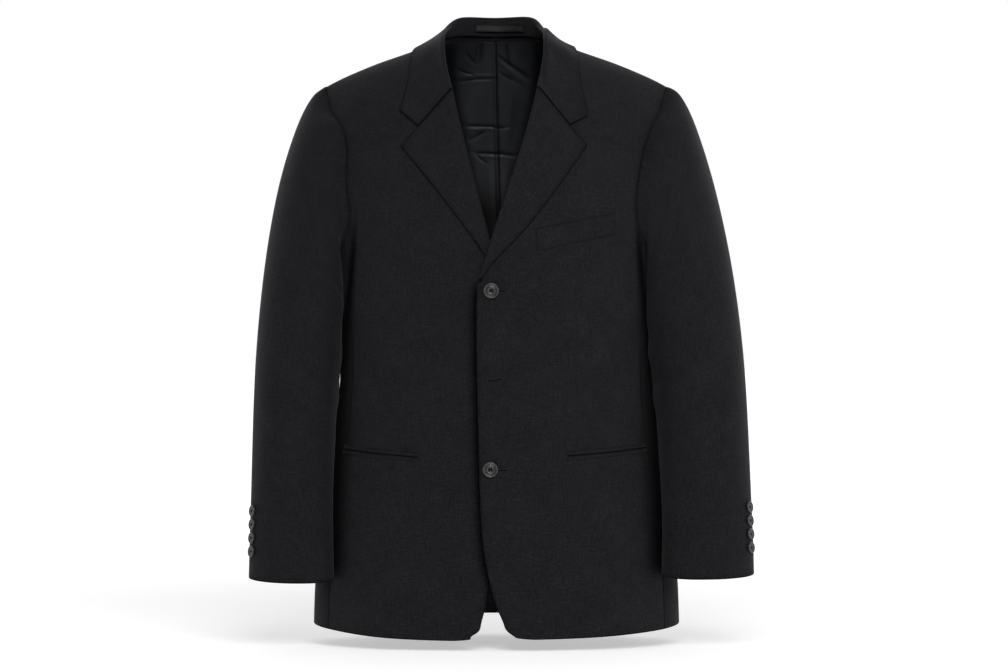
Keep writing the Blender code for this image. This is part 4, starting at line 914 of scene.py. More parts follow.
# ---------------------------------------------------------------- creases
# On the trunk u is metres round it from the front, at TRUNK_METRES a radian, and v the climb.
TRUNK_CREASES = columns("u v lean bow width length depth", [
    # beside each sleeve on the chest
    (0.235, -0.200, 4, 0.0, 0.012, 0.070, -0.0010),
    (-0.240, -0.195, -4, 0.0, 0.012, 0.070, -0.0010),
    # drag lines from the fastened button
    (0.060, -0.352, 74, 0.6, 0.007, 0.040, -0.0005),
    (-0.065, -0.356, -78, -0.6, 0.007, 0.038, -0.0005),
    # waist
    (0.245, -0.395, 62, 0.8, 0.010, 0.045, -0.0009),
    (-0.250, -0.402, -58, -0.8, 0.010, 0.050, -0.0009),
    (0.300, -0.430, 80, 0.5, 0.012, 0.050, -0.0012),
    (-0.305, -0.425, -82, -0.5, 0.012, 0.046, -0.0012),
    (0.330, -0.375, 70, 0.4, 0.010, 0.038, 0.0008),
    (-0.335, -0.380, -72, -0.4, 0.010, 0.040, 0.0008),
    # pressed towards the sleeves
    (0.300, -0.505, 0, 0.0, 0.030, 0.034, 0.0016),
    (-0.300, -0.515, 0, 0.0, 0.030, 0.026, 0.0014),
    # back of the waist
    (0.480, -0.405, 84, 0.6, 0.011, 0.060, -0.0013),
    (0.520, -0.438, 93, 0.7, 0.010, 0.052, -0.0009),
    (-0.470, -0.412, -86, -0.6, 0.011, 0.064, -0.0012),
    (-0.515, -0.372, -80, -0.7, 0.010, 0.050, -0.0009),
    # shoulder blades and under the collar
    (0.455, -0.170, 14, 0.0, 0.014, 0.080, -0.0012),
    (-0.450, -0.180, -12, 0.0, 0.014, 0.085, -0.0012),
    (0.400, -0.235, 26, 0.9, 0.009, 0.050, -0.0011),
    (-0.404, -0.228, -24, -0.9, 0.009, 0.054, -0.0011),
    # skirt
    (0.170, -0.690, 3, 0.0, 0.024, 0.110, -0.0012),
    (-0.180, -0.700, -3, 0.0, 0.024, 0.100, -0.0012),
    (0.420, -0.690, 5, 0.0, 0.020, 0.120, -0.0016),
    (-0.410, -0.680, -6, 0.0, 0.020, 0.120, -0.0016),
    (0.545, -0.700, 2, 0.0, 0.022, 0.110, 0.0012),
    (-0.550, -0.690, -2, 0.0, 0.022, 0.115, 0.0012),
])
# On a sleeve u is metres round it from the outer side towards the front, at SLEEVE_METRES a radian,
# and v metres below its head.
SLEEVE_CREASES = columns("u v lean bow width length depth", [
    (0.075, 0.075, 38, 1.5, 0.008, 0.034, -0.0008),
    (0.120, 0.125, 55, 1.8, 0.009, 0.036, -0.0011),
    (0.150, 0.290, 72, 2.5, 0.009, 0.034, -0.0013),
    (0.160, 0.318, 84, 2.5, 0.008, 0.038, 0.0010),
    (0.148, 0.345, 96, -2.0, 0.009, 0.036, -0.0012),
    (0.135, 0.255, 60, 2.2, 0.010, 0.030, -0.0009),
    (-0.060, 0.330, -70, 1.5, 0.012, 0.030, -0.0008),
    (-0.075, 0.372, -88, 1.5, 0.011, 0.034, -0.0009),
    (-0.115, 0.120, -48, 1.5, 0.010, 0.040, -0.0012),
    (-0.090, 0.170, -30, 1.5, 0.011, 0.042, -0.0010),
    (0.030, 0.400, 6, 0.0, 0.020, 0.120, -0.0008),
    (0.105, 0.520, 74, 1.0, 0.012, 0.028, -0.0008),
    (0.010, 0.610, 84, 0.6, 0.014, 0.030, -0.0006),
])
# On the lining u and v are x and z of the front view.
LINING_CREASES = columns("u v lean bow width length depth", [
    (-0.030, -0.0490, 87, 0.9, 0.0020, 0.030, 0.0008),
    (-0.028, -0.0535, 84, 1.1, 0.0016, 0.024, -0.0013),
    (-0.044, -0.0440, 112, 0, 0.0018, 0.013, -0.0015),
    (-0.036, -0.0250, 140, 0, 0.0016, 0.010, -0.0015),
    (-0.041, -0.0310, 128, 0, 0.0017, 0.010, 0.0007),
    (-0.022, -0.0150, 3, 0, 0.0018, 0.016, -0.0015),
    (-0.029, -0.0180, 8, 0, 0.0016, 0.012, -0.0009),
    (-0.020, -0.1160, 92, 0.6, 0.0017, 0.026, -0.0008),
    (-0.022, -0.1205, 86, -0.5, 0.0019, 0.022, 0.0004),
    (-0.028, -0.1290, 62, 2, 0.0017, 0.014, -0.0008),
    (-0.022, -0.1350, 55, 1.5, 0.0018, 0.012, 0.0003),
    (-0.012, -0.1530, 94, 1.2, 0.0017, 0.020, -0.0008),
    (-0.010, -0.1580, 90, 1, 0.0018, 0.018, 0.0003),
    (-0.021, -0.1610, 128, 0, 0.0016, 0.009, -0.0006),
    (0.014, -0.1545, 100, 0, 0.0017, 0.014, -0.0008),
    (0.011, -0.1180, 84, 0, 0.0018, 0.013, -0.0006),
    (0.025, -0.0385, -53, 0.6, 0.0016, 0.026, -0.0019),
    (0.022, -0.0445, -50, 0.4, 0.0022, 0.024, 0.0010),
    (0.018, -0.0520, -58, 0.6, 0.0018, 0.016, -0.0013),
    (0.015, -0.0150, -8, 0, 0.0022, 0.020, -0.0011),
    (0.034, -0.0800, -24, 0, 0.0045, 0.030, 0.0008),
    (0.020, -0.0950, 6, 0, 0.0050, 0.036, 0.0008),
    (-0.036, -0.0900, 24, 0, 0.0045, 0.026, 0.0007),
    (-0.060, -0.3000, 12, 0, 0.0100, 0.070, 0.0020),
    (0.070, -0.3600, -10, 0, 0.0110, 0.080, 0.0020),
    (-0.090, -0.5600, 6, 0, 0.0140, 0.100, 0.0022),
    (0.095, -0.6000, -6, 0, 0.0140, 0.100, 0.0022),
])
# Darts: x at the front, and the heights between which they are sewn.
DARTS = {"left": (0.1010, -0.3595, -0.5430), "right": (-0.1155, -0.3365, -0.5430)}

# ---------------------------------------------------------------- trunk panels
# How far out a sleeve hangs before the trunk, and how wide the painted shade beside it is.
VALLEY = columns("z out soft", [
    (-0.230, 0.1790, 0.004),
    (-0.286, 0.1830, 0.007),
    (-0.352, 0.1905, 0.012),
    (-0.418, 0.1975, 0.020),
    (-0.483, 0.2035, 0.026),
    (-0.535, 0.2080, 0.030),
    (-0.590, 0.2105, 0.030),
    (-0.700, 0.2120, 0.026),
])


def trunk_shade(name, place):
    """Painted shade on the cloth under a sleeve or beside the left front's edge, where little light gets in.
    """
    x, z = place[..., 0], place[..., 2]
    out, soft = (np.interp(-z, -np.array(VALLEY["z"]), VALLEY[key]) for key in ("out", "soft"))
    inward = out - np.abs(x)
    beyond = 1 - 0.75 * ease(0.000, 0.007, -inward) * ease(-0.400, -0.330, z)
    total = 1.05 * (1 - ease(0.0, 1.0, inward / soft)) * beyond
    total = total * (1 - ease(-0.300, -0.225, z)) * ease(-0.722, -0.690, z)
    # side panels take at least this much painted shade all over
    if name.startswith("side"):
        total = np.maximum(total, 0.4)
    # the right front takes a painted shadow beside the left front's overlapping edge
    if name == "front_right":
        level = np.clip(z, FRONT_EDGE["z"][0], BREAK_Z)
        covered = FRONT_CENTRE - read(FRONT_EDGE, "z", "left", level) - x
        beside = bell(np.maximum(covered, 0), 0.0075) * (1 - ease(-0.345, -0.325, z))
        total = np.maximum(total, beside)
    return np.minimum(total, 1.0)


def trunk_shell(name, angle, climb, lay, relief=0.0, grain=0.5):
    middle = on_trunk(angle, climb, lay - BODY_WALL / 2)
    if name.startswith("front"):
        middle[-1, :, 1] = np.minimum(middle[-1, :, 1], SHOULDER_Y - SEAM_GAP / 4)
    if name.startswith("back"):
        middle[-1, :, 1] = np.maximum(middle[-1, :, 1], SHOULDER_Y + SEAM_GAP / 4)
    # painted shade along the panels' seams and, from trunk_shade, under the sleeves
    look = {"normal": trunk_normal(angle, climb), "seam": 0.7, "shade": trunk_shade(name, middle)}
    return cloth(shell(name + "_cloth", middle, BODY_WALL, wool, relief, grain=grain, **look), name)


def front_panel(side):
    sign = SIDES[side]
    corner = np.array(FRONT_EDGE["z"])[:11]
    bottom, reference = corner[0], corner[-1]
    steps = np.concatenate([np.linspace(0, 6, 37), np.linspace(6, 10, 17)[1:]])
    near_hem = bottom + np.array([0.0003, 0.0008])
    low = np.sort(np.concatenate([np.interp(steps, np.arange(11), corner), near_hem]))
    span = TRUNK_TOP - reference
    high = reference + (TRUNK_TOP - 0.0001 - reference) * shares(span, 172, first=False)[1:]
    edge_angle, edge_climb = front_boundary(side)
    dart_x, dart_top, dart_low = DARTS[side]
    before = shares(0.10, 30, last=False)[:-1]
    after = shares(0.10, 34, first=False)[1:]
    half = np.array([0.0006, 0.0014, 0.0026, 0.0040])
    across = np.concatenate([-half[::-1], [0.0], half]) * sign
    meets = meets_armhole(side, FRONT_SEAM, True)
    angle, climb = [], []
    for row in np.concatenate([low, high]):
        if row < reference:
            x = FRONT_CENTRE - sign * read(FRONT_EDGE, "z", side, row)
            start = float(angle_at(x, np.array(row)))
        else:
            start = np.interp(row, edge_climb, edge_angle)
        end = sign * (FRONT_SEAM - SEWN_GAP / TRUNK_RADIUS)
        if row > meets:
            end = float(armhole_angle(side, row, True))
        zone = angle_at(dart_x + across, np.full(len(across), row))
        line = np.concatenate([lerp(start, zone[0], before), zone, lerp(zone[-1], end, after)])
        angle.append(line)
        if row < reference:
            hem = hem_climb(line) - HEM_DROP[side] * ease(0.4, 1.0, np.cos(line))
            climb.append(hem + (reference - hem) * (row - bottom) / (reference - bottom))
        else:
            climb.append(np.full(len(line), row))
    angle, climb = np.array(angle), np.array(climb)
    x, _, z = np.moveaxis(trunk(angle, climb), -1, 0)
    sewn = ease(dart_low - 0.004, dart_low + 0.004, z) * (1 - ease(dart_top - 0.030, dart_top, z))
    relief = -sewn * (0.0007 * bell(x - dart_x, 0.0011) + 0.0003 * bell(x - dart_x, 0.006))
    return trunk_shell("front_" + side, angle, climb, overlap_lay(side, x, climb), relief, grain=1.0)


def side_panel(side):
    sign = SIDES[side]
    gap = SEWN_GAP / TRUNK_RADIUS
    angle = sign * lerp(FRONT_SEAM + gap, BACK_SEAM - gap, shares(0.20, 30))
    share = shares(0.50, 130)[:, None]
    climb = lerp(hem_climb(angle)[None, :], armhole_floor(side, angle)[None, :], share)
    return trunk_shell("side_" + side, np.broadcast_to(angle, climb.shape), climb, 0.0)


def back_panel(side):
    neck_angle, neck_climb = neck_seam(side, False)
    neck = neck_climb[0]
    lower = shares(0.57, 140, last=False)[:-1]
    beside = lerp(neck, TRUNK_TOP - 0.0001, shares(TRUNK_TOP - neck, 26, first=False) ** 1.3)
    upper = np.concatenate([np.linspace(DOME_BASE, neck, 50)[:-1], beside])
    share = shares(0.20, 52)
    centre = math.pi - SEWN_GAP / BACK_RADIUS
    meets = meets_armhole(side, BACK_SEAM, False)
    angle, climb = [], []
    for i, t in enumerate(np.concatenate([lower, upper])):
        is_low = i < len(lower)
        level = lerp(BACK_HEM, DOME_BASE, t) if is_low else t
        start, end = centre, BACK_SEAM + SEWN_GAP / TRUNK_RADIUS
        if level > meets:
            end = abs(float(armhole_angle(side, level, False)))
        if level > neck:
            start = min(centre, np.interp(level, neck_climb, np.abs(neck_angle)))
        row = lerp(start, end, share)
        angle.append(SIDES[side] * row)
        climb.append(lerp(hem_climb(row), DOME_BASE, t) if is_low else np.full(len(share), level))
    return trunk_shell("back_" + side, np.array(angle), np.array(climb), 0.0, grain=0.0)


def seam_threads():
    """The seams' turned-in cloth inside the trunk, thicker under the arms, which keeps light out."""
    lay = -BODY_WALL / 2 - 0.0012
    parts = []
    for side, sign in SIDES.items():
        for angle, at_front in ((FRONT_SEAM, True), (BACK_SEAM, False)):
            top = meets_armhole(side, angle, at_front) + (0.0 if at_front else 0.010)
            climb = np.linspace(float(hem_climb(angle)) + 0.0012, top, 220)
            bulk = 0.0 if at_front else 0.0017 * ease(top - 0.030, top - 0.014, climb)
            path = on_trunk(np.full(220, sign * angle), climb, lay - 1.5 * bulk + 0 * climb)
            parts.append(tube(path, SEAM_THREAD + bulk + 0 * climb, 8))
    climb = np.linspace(float(hem_climb(math.pi)) + 0.0012, -0.66, 60)
    parts.append(tube(on_trunk(np.full(60, math.pi), climb, lay), SEAM_THREAD, 8))
    joined("seam_threads", parts, dark_thread_and_shadow)


# ---------------------------------------------------------------- lapels and collar
def lapel_section(side, roll, path, radius, leg, wall, stand, n_arc):
    """One section across a lapel or the collar's front end: from behind the roll, round it, and out."""
    path = np.asarray(path, float)
    direction = unit(path[0] - roll)
    back = lerp(leg + radius, radius, stand)
    turn = np.linspace(0, math.pi, n_arc + 1)
    behind = np.concatenate([back, radius - radius * np.sin(turn)])
    flat = np.concatenate([roll + direction * behind[:, None], path])
    lowest = BODY_WALL / 2 + 0.0006 + wall / 2
    way = travelled(np.vstack([roll + direction * radius, path]), 0)[1:]
    fall = lowest + (2 * radius - lowest) * (1 - way / way[-1]) ** 2
    height = np.concatenate([np.zeros(len(back)), radius - radius * np.cos(turn), np.maximum(fall, lowest)])
    return on_front(side, flat[:, 0], flat[:, 1], height - BODY_WALL / 2)


def lapel_line(side, t):
    """At a share of the lapel's length: its roll and edge in front view, its radius and its leg."""
    column = side + "_x"
    roll_z = lerp(BREAK_Z + 0.0040, GORGE_Z - SEAM_GAP / 2, t)
    edge_z = lerp(LAPEL_EDGE["z"][0], LAPEL_EDGE["z"][-1] - SEAM_GAP / 2, t)
    roll = np.array([float(read(ROLL, "z", column, roll_z)) + SIDES[side] * LAPEL_WALL / 2, roll_z])
    edge = np.array([float(read(LAPEL_EDGE, "z", column, edge_z)), edge_z])
    return roll, edge, float(roll_radius(roll_z)), float(lapel_leg(roll_z))


def lapel(side):
    out = shares(0.09, 30, first=False)[1:]
    stand = shares(0.0085, 5, near=(0.0003, 0.0008), last=False)[:-1]
    sections = []
    for t in shares(0.26, 90) ** 1.1:
        roll, edge, radius, leg = lapel_line(side, t)
        start = roll + unit(edge - roll) * radius
        path = start + (edge - start) * out[:, None]
        sections.append(lapel_section(side, roll, path, radius, leg, LAPEL_WALL, stand, 12))
    point = np.arange(len(sections[0]))
    shade = 0.9 * (1 - ease(11, 18, point))[None, :]  # painted shade over the stand and roll, which turns into the dark of the opening
    obj = shell("lapel_" + side + "_cloth", np.array(sections), LAPEL_WALL, wool, grain=1.0, shade=shade)
    return cloth(obj, "lapel_" + side)


def collar_front_section(side, stand, n_arc, fall):
    """The section along the gorge: from the roll line to the notch, and on to the collar's tip."""
    column = side + "_x"
    start = np.array([read(ROLL, "z", column, GORGE_Z), GORGE_Z])
    corner = np.array([LAPEL_EDGE[column][-1], LAPEL_EDGE["z"][-1]])
    notch = lerp(start, corner, NOTCH_SHARE) + np.array([0.0, SEAM_GAP])
    roll = start + np.array([SIDES[side] * COLLAR_WALL / 2, SEAM_GAP])
    tip = np.array(COLLAR_TIP[side])
    radius = float(roll_radius(GORGE_Z))
    begin = roll + unit(notch - roll) * radius
    path = [
        lerp(begin, notch, q / NOTCH_AT)
        if q <= NOTCH_AT
        else lerp(notch, tip, (q - NOTCH_AT) / (1 - NOTCH_AT))
        for q in fall
    ]
    return lapel_section(side, roll, path, radius, LAPEL_LEG, COLLAR_WALL, stand, n_arc)


def collar_back_section(row, sign, stand, n_arc, fall):
    """A collar section beside or behind the neck: stand, roll and fall."""
    behind = row["station"] < 0.6
    neck_x, roll_x, edge_x = (NECK_CENTRE + sign * row[part + "_x"] for part in ("neck", "roll", "edge"))
    neck = on_form(neck_x, row["neck_z"], behind, -BODY_WALL / 2)
    roll = np.array([roll_x, row["roll_y"], row["roll_z"]])
    edge = on_form(edge_x, row["edge_z"], behind, COLLAR_LIFT + COLLAR_WALL / 2)
    radius = row["radius"]
    up = unit(roll - neck)
    out = edge - roll
    out = unit(out - up * (out @ up))
    stand_top = roll - up * radius
    points = [lerp(neck, stand_top, q) for q in stand]
    centre = stand_top + out * radius
    for turn in np.linspace(0, math.pi, n_arc + 1):
        points.append(centre - out * radius * math.cos(turn) + up * radius * math.sin(turn))
    start = points[-1]
    bend = start - up * 0.30 * np.linalg.norm(edge - start)
    points += [start * (1 - q) ** 2 + bend * 2 * q * (1 - q) + edge * q**2 for q in fall]
    return np.array(points)


def collar_middle(at, held=True, fine=False):
    """The collar's middle surface at stations from -1 to 1, its fall held off the panels."""
    n_leg, n_arc = (6, 12) if fine else (3, 5)
    fall = shares(0.055, 26, first=False)[1:] if fine else np.linspace(0, 1, 7)[1:]
    if fine:  # the notch lies on a column of its own
        fall = np.sort(np.append(fall, NOTCH_AT))
    stand = shares(0.02, n_leg, last=False)[:-1] if fine else np.linspace(0, 1, n_leg + 1)[:-1]
    stations, sections = [], []
    for side in ("right", "left"):
        sign = SIDES[side]
        part = [(sign * 1.0, collar_front_section(side, stand, n_arc, fall))]
        for row in rows_of(COLLAR)[::-1]:
            part.append((sign * row["station"], collar_back_section(row, sign, stand, n_arc, fall)))
        if side == "left":
            part = part[:-1][::-1]
        stations += [p[0] for p in part]
        sections += [p[1] for p in part]
    stations, sections = np.array(stations), np.array(sections)
    flat = sections.reshape(len(stations), -1)
    read_at = np.stack([spline(stations, flat[:, i], at) for i in range(flat.shape[1])], -1)
    points = read_at.reshape(len(at), -1, 3)
    if held:
        first = len(stand) + n_arc + 1

        def least(angle, climb):
            x = trunk(angle, climb)[..., 0]
            cover = np.where(x > 0, overlap_lay("left", x, climb), overlap_lay("right", x, climb))
            behind = np.abs(angle) > math.pi / 2
            return np.where(behind, 0.0, cover) + COLLAR_LIFT + COLLAR_WALL / 2

        points[:, first:] = held_off(points[:, first:], least)
    return points


def collar():
    ends = np.array([0.0010, 0.0025, 0.0055])
    even = np.sort(np.concatenate([np.linspace(-1, 1, 181), 1 - ends, ends - 1]))
    at = np.sign(even) * np.interp(np.abs(even), COLLAR_SPACING["even"], COLLAR_SPACING["station"])
    middle = collar_middle(at, fine=True)[:, ::-1]
    return cloth(shell("collar_cloth", middle, COLLAR_WALL, wool, rim=0.0012), "collar")


# ---------------------------------------------------------------- lining and hanger loop
def lining():
    """The back lining, with its pleat down the middle and the creases that show at the neck."""
    across = signed_power(signed_power(np.linspace(-1, 1, 141), 1.25), 1.35)
    angle = math.pi + across * (math.pi - BACK_SEAM - 0.06)
    angle = np.where(angle > math.pi, angle - 2 * math.pi, angle)
    t = np.concatenate([np.linspace(0, 0.65, 40)[:-1], np.linspace(0.65, 1, 180)])[:, None]
    neck_angle, neck_climb = neck_seam("left", False)
    offset = (math.pi - np.abs(neck_angle))[1:]
    top = np.interp(math.pi - np.abs(angle), offset, neck_climb[1:])
    top = top - 0.0022 - 0.26 * ease(0.070, LINING_HALF, np.abs(across) * LINING_HALF)
    climb = lerp(LINING_HEM, top[None, :], t)
    angle = np.broadcast_to(angle, climb.shape)
    place = trunk(angle, climb)
    x, z = place[..., 0], place[..., 2]
    pleat = 0.0065 * bell(across, 0.06) * (1 - 0.4 * t)
    pleat_edge = x + 0.0015 + 0.030 * (0.06 + z)
    ridge = 0.0012 * bell(pleat_edge + 0.0012, 0.0022) - 0.0008 * bell(pleat_edge - 0.0022, 0.0016)
    folds = creases(LINING_CREASES, x, z)
    lay = -BODY_WALL - LINING_SPACE - pleat + plain_folds(angle, climb) - LINING_WALL / 2
    normal = trunk_normal(angle, climb)
    level = np.clip(z, BREAK_Z, 0.01)
    beside = np.minimum(read(ROLL, "z", "left_x", level) - x, x - read(ROLL, "z", "right_x", level))
    # painted shade in the upper creases, under the lapels, low in the opening and beside the pleat's edge
    painted_crease_shade = np.clip(-folds / np.where(z < -0.10, 0.0008, 0.0018), 0, 0.85) * (z > -0.25)
    dark = (
        0.80 * bell(np.maximum(beside, 0), 0.008),  # painted shade under the lapels
        0.95 * (1 - ease(-0.245, -0.165, z)),  # painted shade low in the opening
        0.8 * bell(pleat_edge - 0.0018, 0.0016),
        painted_crease_shade,
    )
    look = {"normal": normal, "shade": np.maximum.reduce(dark)}
    obj = shell("lining_cloth", place + normal * lay[..., None], LINING_WALL, satin, -(folds + ridge), **look)
    return cloth(obj, "lining_back")


def hanger_loop():
    x = lerp(*LOOP_ENDS, shares(0.068, 48))
    stand = collar_middle(np.linspace(-0.3, 0.3, 61), held=False)[:, :4]
    bow = LOOP_BOW * (1 - (2 * (x - LOOP_ENDS[0]) / (LOOP_ENDS[1] - LOOP_ENDS[0]) - 1) ** 4)
    rows = []
    for share in np.interp(shares(0.008, 10), [0, 0.5, 1], LOOP_RISE):
        line = lerp(stand[:, 0], stand[:, 3], share)
        rows.append(np.stack([np.interp(x, line[:, 0], line[:, k]) for k in range(3)], -1))
    grid = np.array(rows)
    inward = grid_normals(grid)
    inward = inward * -np.sign(inward[..., 1:2])
    middle = grid + inward * (COLLAR_WALL / 2 + LOOP_LIFT + bow[None, :, None] + TRIM_WALL / 2)
    cloth(shell("hanger_loop_tape", middle, TRIM_WALL, tape, rim=0.0006), "hanger_loop")
    face = middle + inward * (TRIM_WALL / 2 + 0.0001)
    parts = []
    for column in (4, len(x) - 5):
        top, bottom = face[1, column], face[-2, column]
        for i in range(5):
            a, b = (lerp(top, bottom, (i + part) / 5) for part in (0.1, 0.85))
            parts.append(tube([lerp(a, b, q) for q in (0, 0.5, 1)], LOOP_THREAD))
    joined("hanger_loop_stitches", parts, light_thread)


# ---------------------------------------------------------------- sleeves
def outer_face(side, angle, station):
    wanted = SLEEVE_CLEARANCE * ease(0.0, 1.0, station) - 0.003 * (1 - ease(0.0, 0.4, station))
    return held_off(sleeve_section(side, angle, station), lambda a, c: wanted)


def mirror(side):
    return np.array([SIDES[side], 1, 1])


def seam_line(side, angle):
    """The middle of the panels' wall along the armhole, at angles round the sleeve."""
    loop = armhole_loop(side)
    points = on_trunk(SIDES[side] * loop[:, 0], loop[:, 1], -BODY_WALL / 2)
    return along_armhole(points * mirror(side), angle)


def sleeve_piece(name, side, from_seam, to_seam, breadth, n_cols, n_coarse):
    """A sleeve panel between two seams, whose angles are read at each station."""
    coarse = np.concatenate([[0, 0.25, 0.5, 0.75], np.linspace(1, 4, 10), np.linspace(4.6, 13, 15)])
    coarse_cols = np.linspace(0, 1, n_coarse)
    seams = (from_seam, to_seam)
    start, end = (np.radians(read(SLEEVE_SEAMS, "station", key, coarse))[:, None] for key in seams)
    if end.mean() < start.mean():
        end = end + 2 * math.pi
    gap = SEWN_GAP / SLEEVE_RADIUS
    angle = lerp(start + gap, end - gap, coarse_cols[None, :])
    grid = outer_face(side, angle, np.broadcast_to(coarse[:, None], angle.shape))
    rows = 13 * shares(0.62, 170, near=(0.0003, 0.0008, 0.0016, 0.0028))
    cols = shares(breadth, n_cols)
    fine = upsampled(grid, coarse, coarse_cols, rows, cols)
    turned = upsampled(angle[..., None], coarse, coarse_cols, rows, cols)[..., 0]
    normal = grid_normals(fine)
    around = np.linspace(0, 2 * math.pi, 16, endpoint=False)
    axis = sleeve_section(side, around[None, :], rows[:, None]).mean(1)
    outward = normal * np.sign(((fine - axis[:, None]) * normal).sum())
    length = travelled(fine.mean(1)[:, None], 0)
    u = np.radians((np.degrees(turned) + 180) % 360 - 180) * SLEEVE_METRES
    lift = sleeve_folds(turned, np.broadcast_to(rows[:, None], turned.shape))
    lift = lift + creases(SLEEVE_CREASES, u, np.broadcast_to(length, turned.shape))
    middle = fine + outward * (lift - SLEEVE_WALL / 2)[..., None]
    apart = seam_line(side, turned[0]) - middle[0]
    middle = middle + apart * bell(travelled(middle, 0), 0.007)[..., None]
    return cloth(shell(name + "_cloth", middle * mirror(side), SLEEVE_WALL, wool), name)


def sleeve(side):
    sleeve_piece("top_sleeve_" + side, side, "back_seam", "front_seam", 0.24, 76, 21)
    sleeve_piece("under_sleeve_" + side, side, "front_seam", "back_seam", 0.13, 42, 13)


# ---------------------------------------------------------------- pockets
def strip(name, side, angle, climb, seam=0.2):
    """A strip lying on a front, made from the front's own points moved out."""
    base = overlap_lay(side, trunk(angle, climb)[..., 0], climb)
    middle = on_trunk(angle, climb, base + SEAM_GAP / 2 + TRIM_WALL / 2)
    # the strip's edges take painted shade, as strong as seam
    look = {"rim": 0.0009, "normal": trunk_normal(angle, climb), "seam": seam}
    return cloth(shell(name + "_cloth", middle, TRIM_WALL, wool, **look), name)


def hip_pocket(side):
    x, z = POCKETS[side]
    share = shares(0.16, 90)
    start = float(angle_at(x, np.array(z)))
    angle = start + SIDES[side] * math.radians(POCKET_LENGTH) * share
    middle = z + POCKET_RISE * share
    up = shares(JET_HEIGHT, 8, near=(0.0002, 0.0006))
    for name, low in (("jet_upper_", JET_SPACE / 2), ("jet_lower_", -JET_SPACE / 2 - JET_HEIGHT)):
        climb = middle[None, :] + lerp(low, low + JET_HEIGHT, up)[:, None]
        strip(name + side, side, np.broadcast_to(angle, climb.shape), climb)
    # a near-black thread along the mouth stands in for the shade inside the pocket opening
    base = overlap_lay(side, trunk(angle, middle)[..., 0], middle)
    mouth = tube(on_trunk(angle, middle, base + SEAM_GAP / 2 + TRIM_WALL)[2:-2], MOUTH_SHADOW_THREAD)
    joined("pocket_mouth_shadow_" + side, [mouth], dark_thread_and_shadow)


def breast_welt():
    across, up = shares(0.105, 60)[None, :], shares(0.028, 18)[:, None]
    x, low, high = (lerp(inner, outer, across) + 0 * up for inner, outer in zip(WELT_INNER, WELT_OUTER))
    climb = climb_at(x, lerp(low, high, up))
    # the welt's edges take painted shade
    strip("breast_welt", "left", angle_at(x, climb), climb, seam=0.35)


# ---------------------------------------------------------------- buttons
BUTTON_FORM = columns(  # shares of the radius: distance from the axis and height above the back
    "distance height",
    [
        (0.000, 0.175), (0.150, 0.176), (0.270, 0.185), (0.320, 0.215), (0.365, 0.255), (0.420, 0.275),
        (0.500, 0.283), (0.575, 0.268), (0.625, 0.240), (0.665, 0.224), (0.710, 0.236), (0.760, 0.275),
        (0.815, 0.310), (0.870, 0.322), (0.925, 0.312), (0.970, 0.280), (0.996, 0.235), (1.000, 0.180),
        (0.985, 0.110), (0.950, 0.050), (0.880, 0.020), (0.700, 0.004), (0.000, 0.000),
    ],
)
HOLE_DISTANCE, HOLE_RADIUS = 0.165, 0.085


def button_object(name, node, radius, position, facing, steps=56):
    """A turned four-hole button with its sewing thread."""
    turn = np.linspace(0, 2 * math.pi, steps, endpoint=False)
    keys = np.arange(len(BUTTON_FORM["distance"]))
    fine = np.linspace(0, keys[-1], 61)
    profile_d, profile_h = (np.interp(fine, keys, BUTTON_FORM[key]) for key in ("distance", "height"))
    inner = np.linspace(0.02, 0.29, 16)
    keep = (profile_d > 0.30) | (fine > 15)
    distance = np.concatenate([inner, profile_d[keep]])
    height = np.concatenate([np.interp(inner, [0, 0.15, 0.30], [0.175, 0.176, 0.196]), profile_h[keep]])
    distance[-1] = 0.02
    x, y = distance[:, None] * np.cos(turn), distance[:, None] * np.sin(turn)
    z = np.broadcast_to(height[:, None], x.shape).copy()
    upper = (np.arange(len(distance)) < len(inner))[:, None]
    for k in range(4):
        a = math.radians(45 + 90 * k)
        off = np.hypot(x - HOLE_DISTANCE * math.cos(a), y - HOLE_DISTANCE * math.sin(a))
        z = z - np.where(upper, 0.14 * (1 - ease(HOLE_RADIUS * 0.72, HOLE_RADIUS * 1.1, off)), 0)
    index = np.arange(z.size).reshape(z.shape)
    after = np.roll(index, -1, 1)
    faces = np.stack([index[:-1], index[1:], after[1:], after[:-1]], -1).reshape(-1, 4).tolist()
    faces += [index[0].tolist(), index[-1][::-1].tolist()]
    obj = mesh_from(name, np.stack([x, y, z], -1).reshape(-1, 3), faces)
    turn_to = Vector(facing).to_track_quat("Z", "Y")
    obj.location = position
    obj.rotation_mode = "QUATERNION"
    obj.rotation_quaternion = turn_to
    obj.scale = (radius,) * 3
    dress(obj, horn)
    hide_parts(node)
    matrix = np.array(turn_to.to_matrix())
    ends = np.linspace(-1, 1, 9)
    reach = HOLE_DISTANCE * math.sqrt(0.5)
    parts = []
    for side_x in (-1, 1):  # two bars of thread, each over a pair of holes
        for lay in (-0.022, 0.022):
            x = side_x * reach + lay + 0 * ends
            line = np.stack([x, ends * reach, 0.20 - 0.12 * np.abs(ends) ** 6], -1)
            found, sides = tube(line * radius, 0.030 * radius)
            parts.append((found @ matrix.T + np.array(position), sides))
    joined(name + "_thread", parts, dark_thread_and_shadow)


def front_buttons():
    for name, (x, z) in FRONT_BUTTONS.items():
        on_face = on_front("left", x, z, 0.0)
        climb = climb_at(x, z)
        normal = trunk_normal(angle_at(x, climb), climb)
        button_object(name + "_turned", name, BUTTON_RADIUS, on_face + normal * BUTTON_STANDOFF, normal)


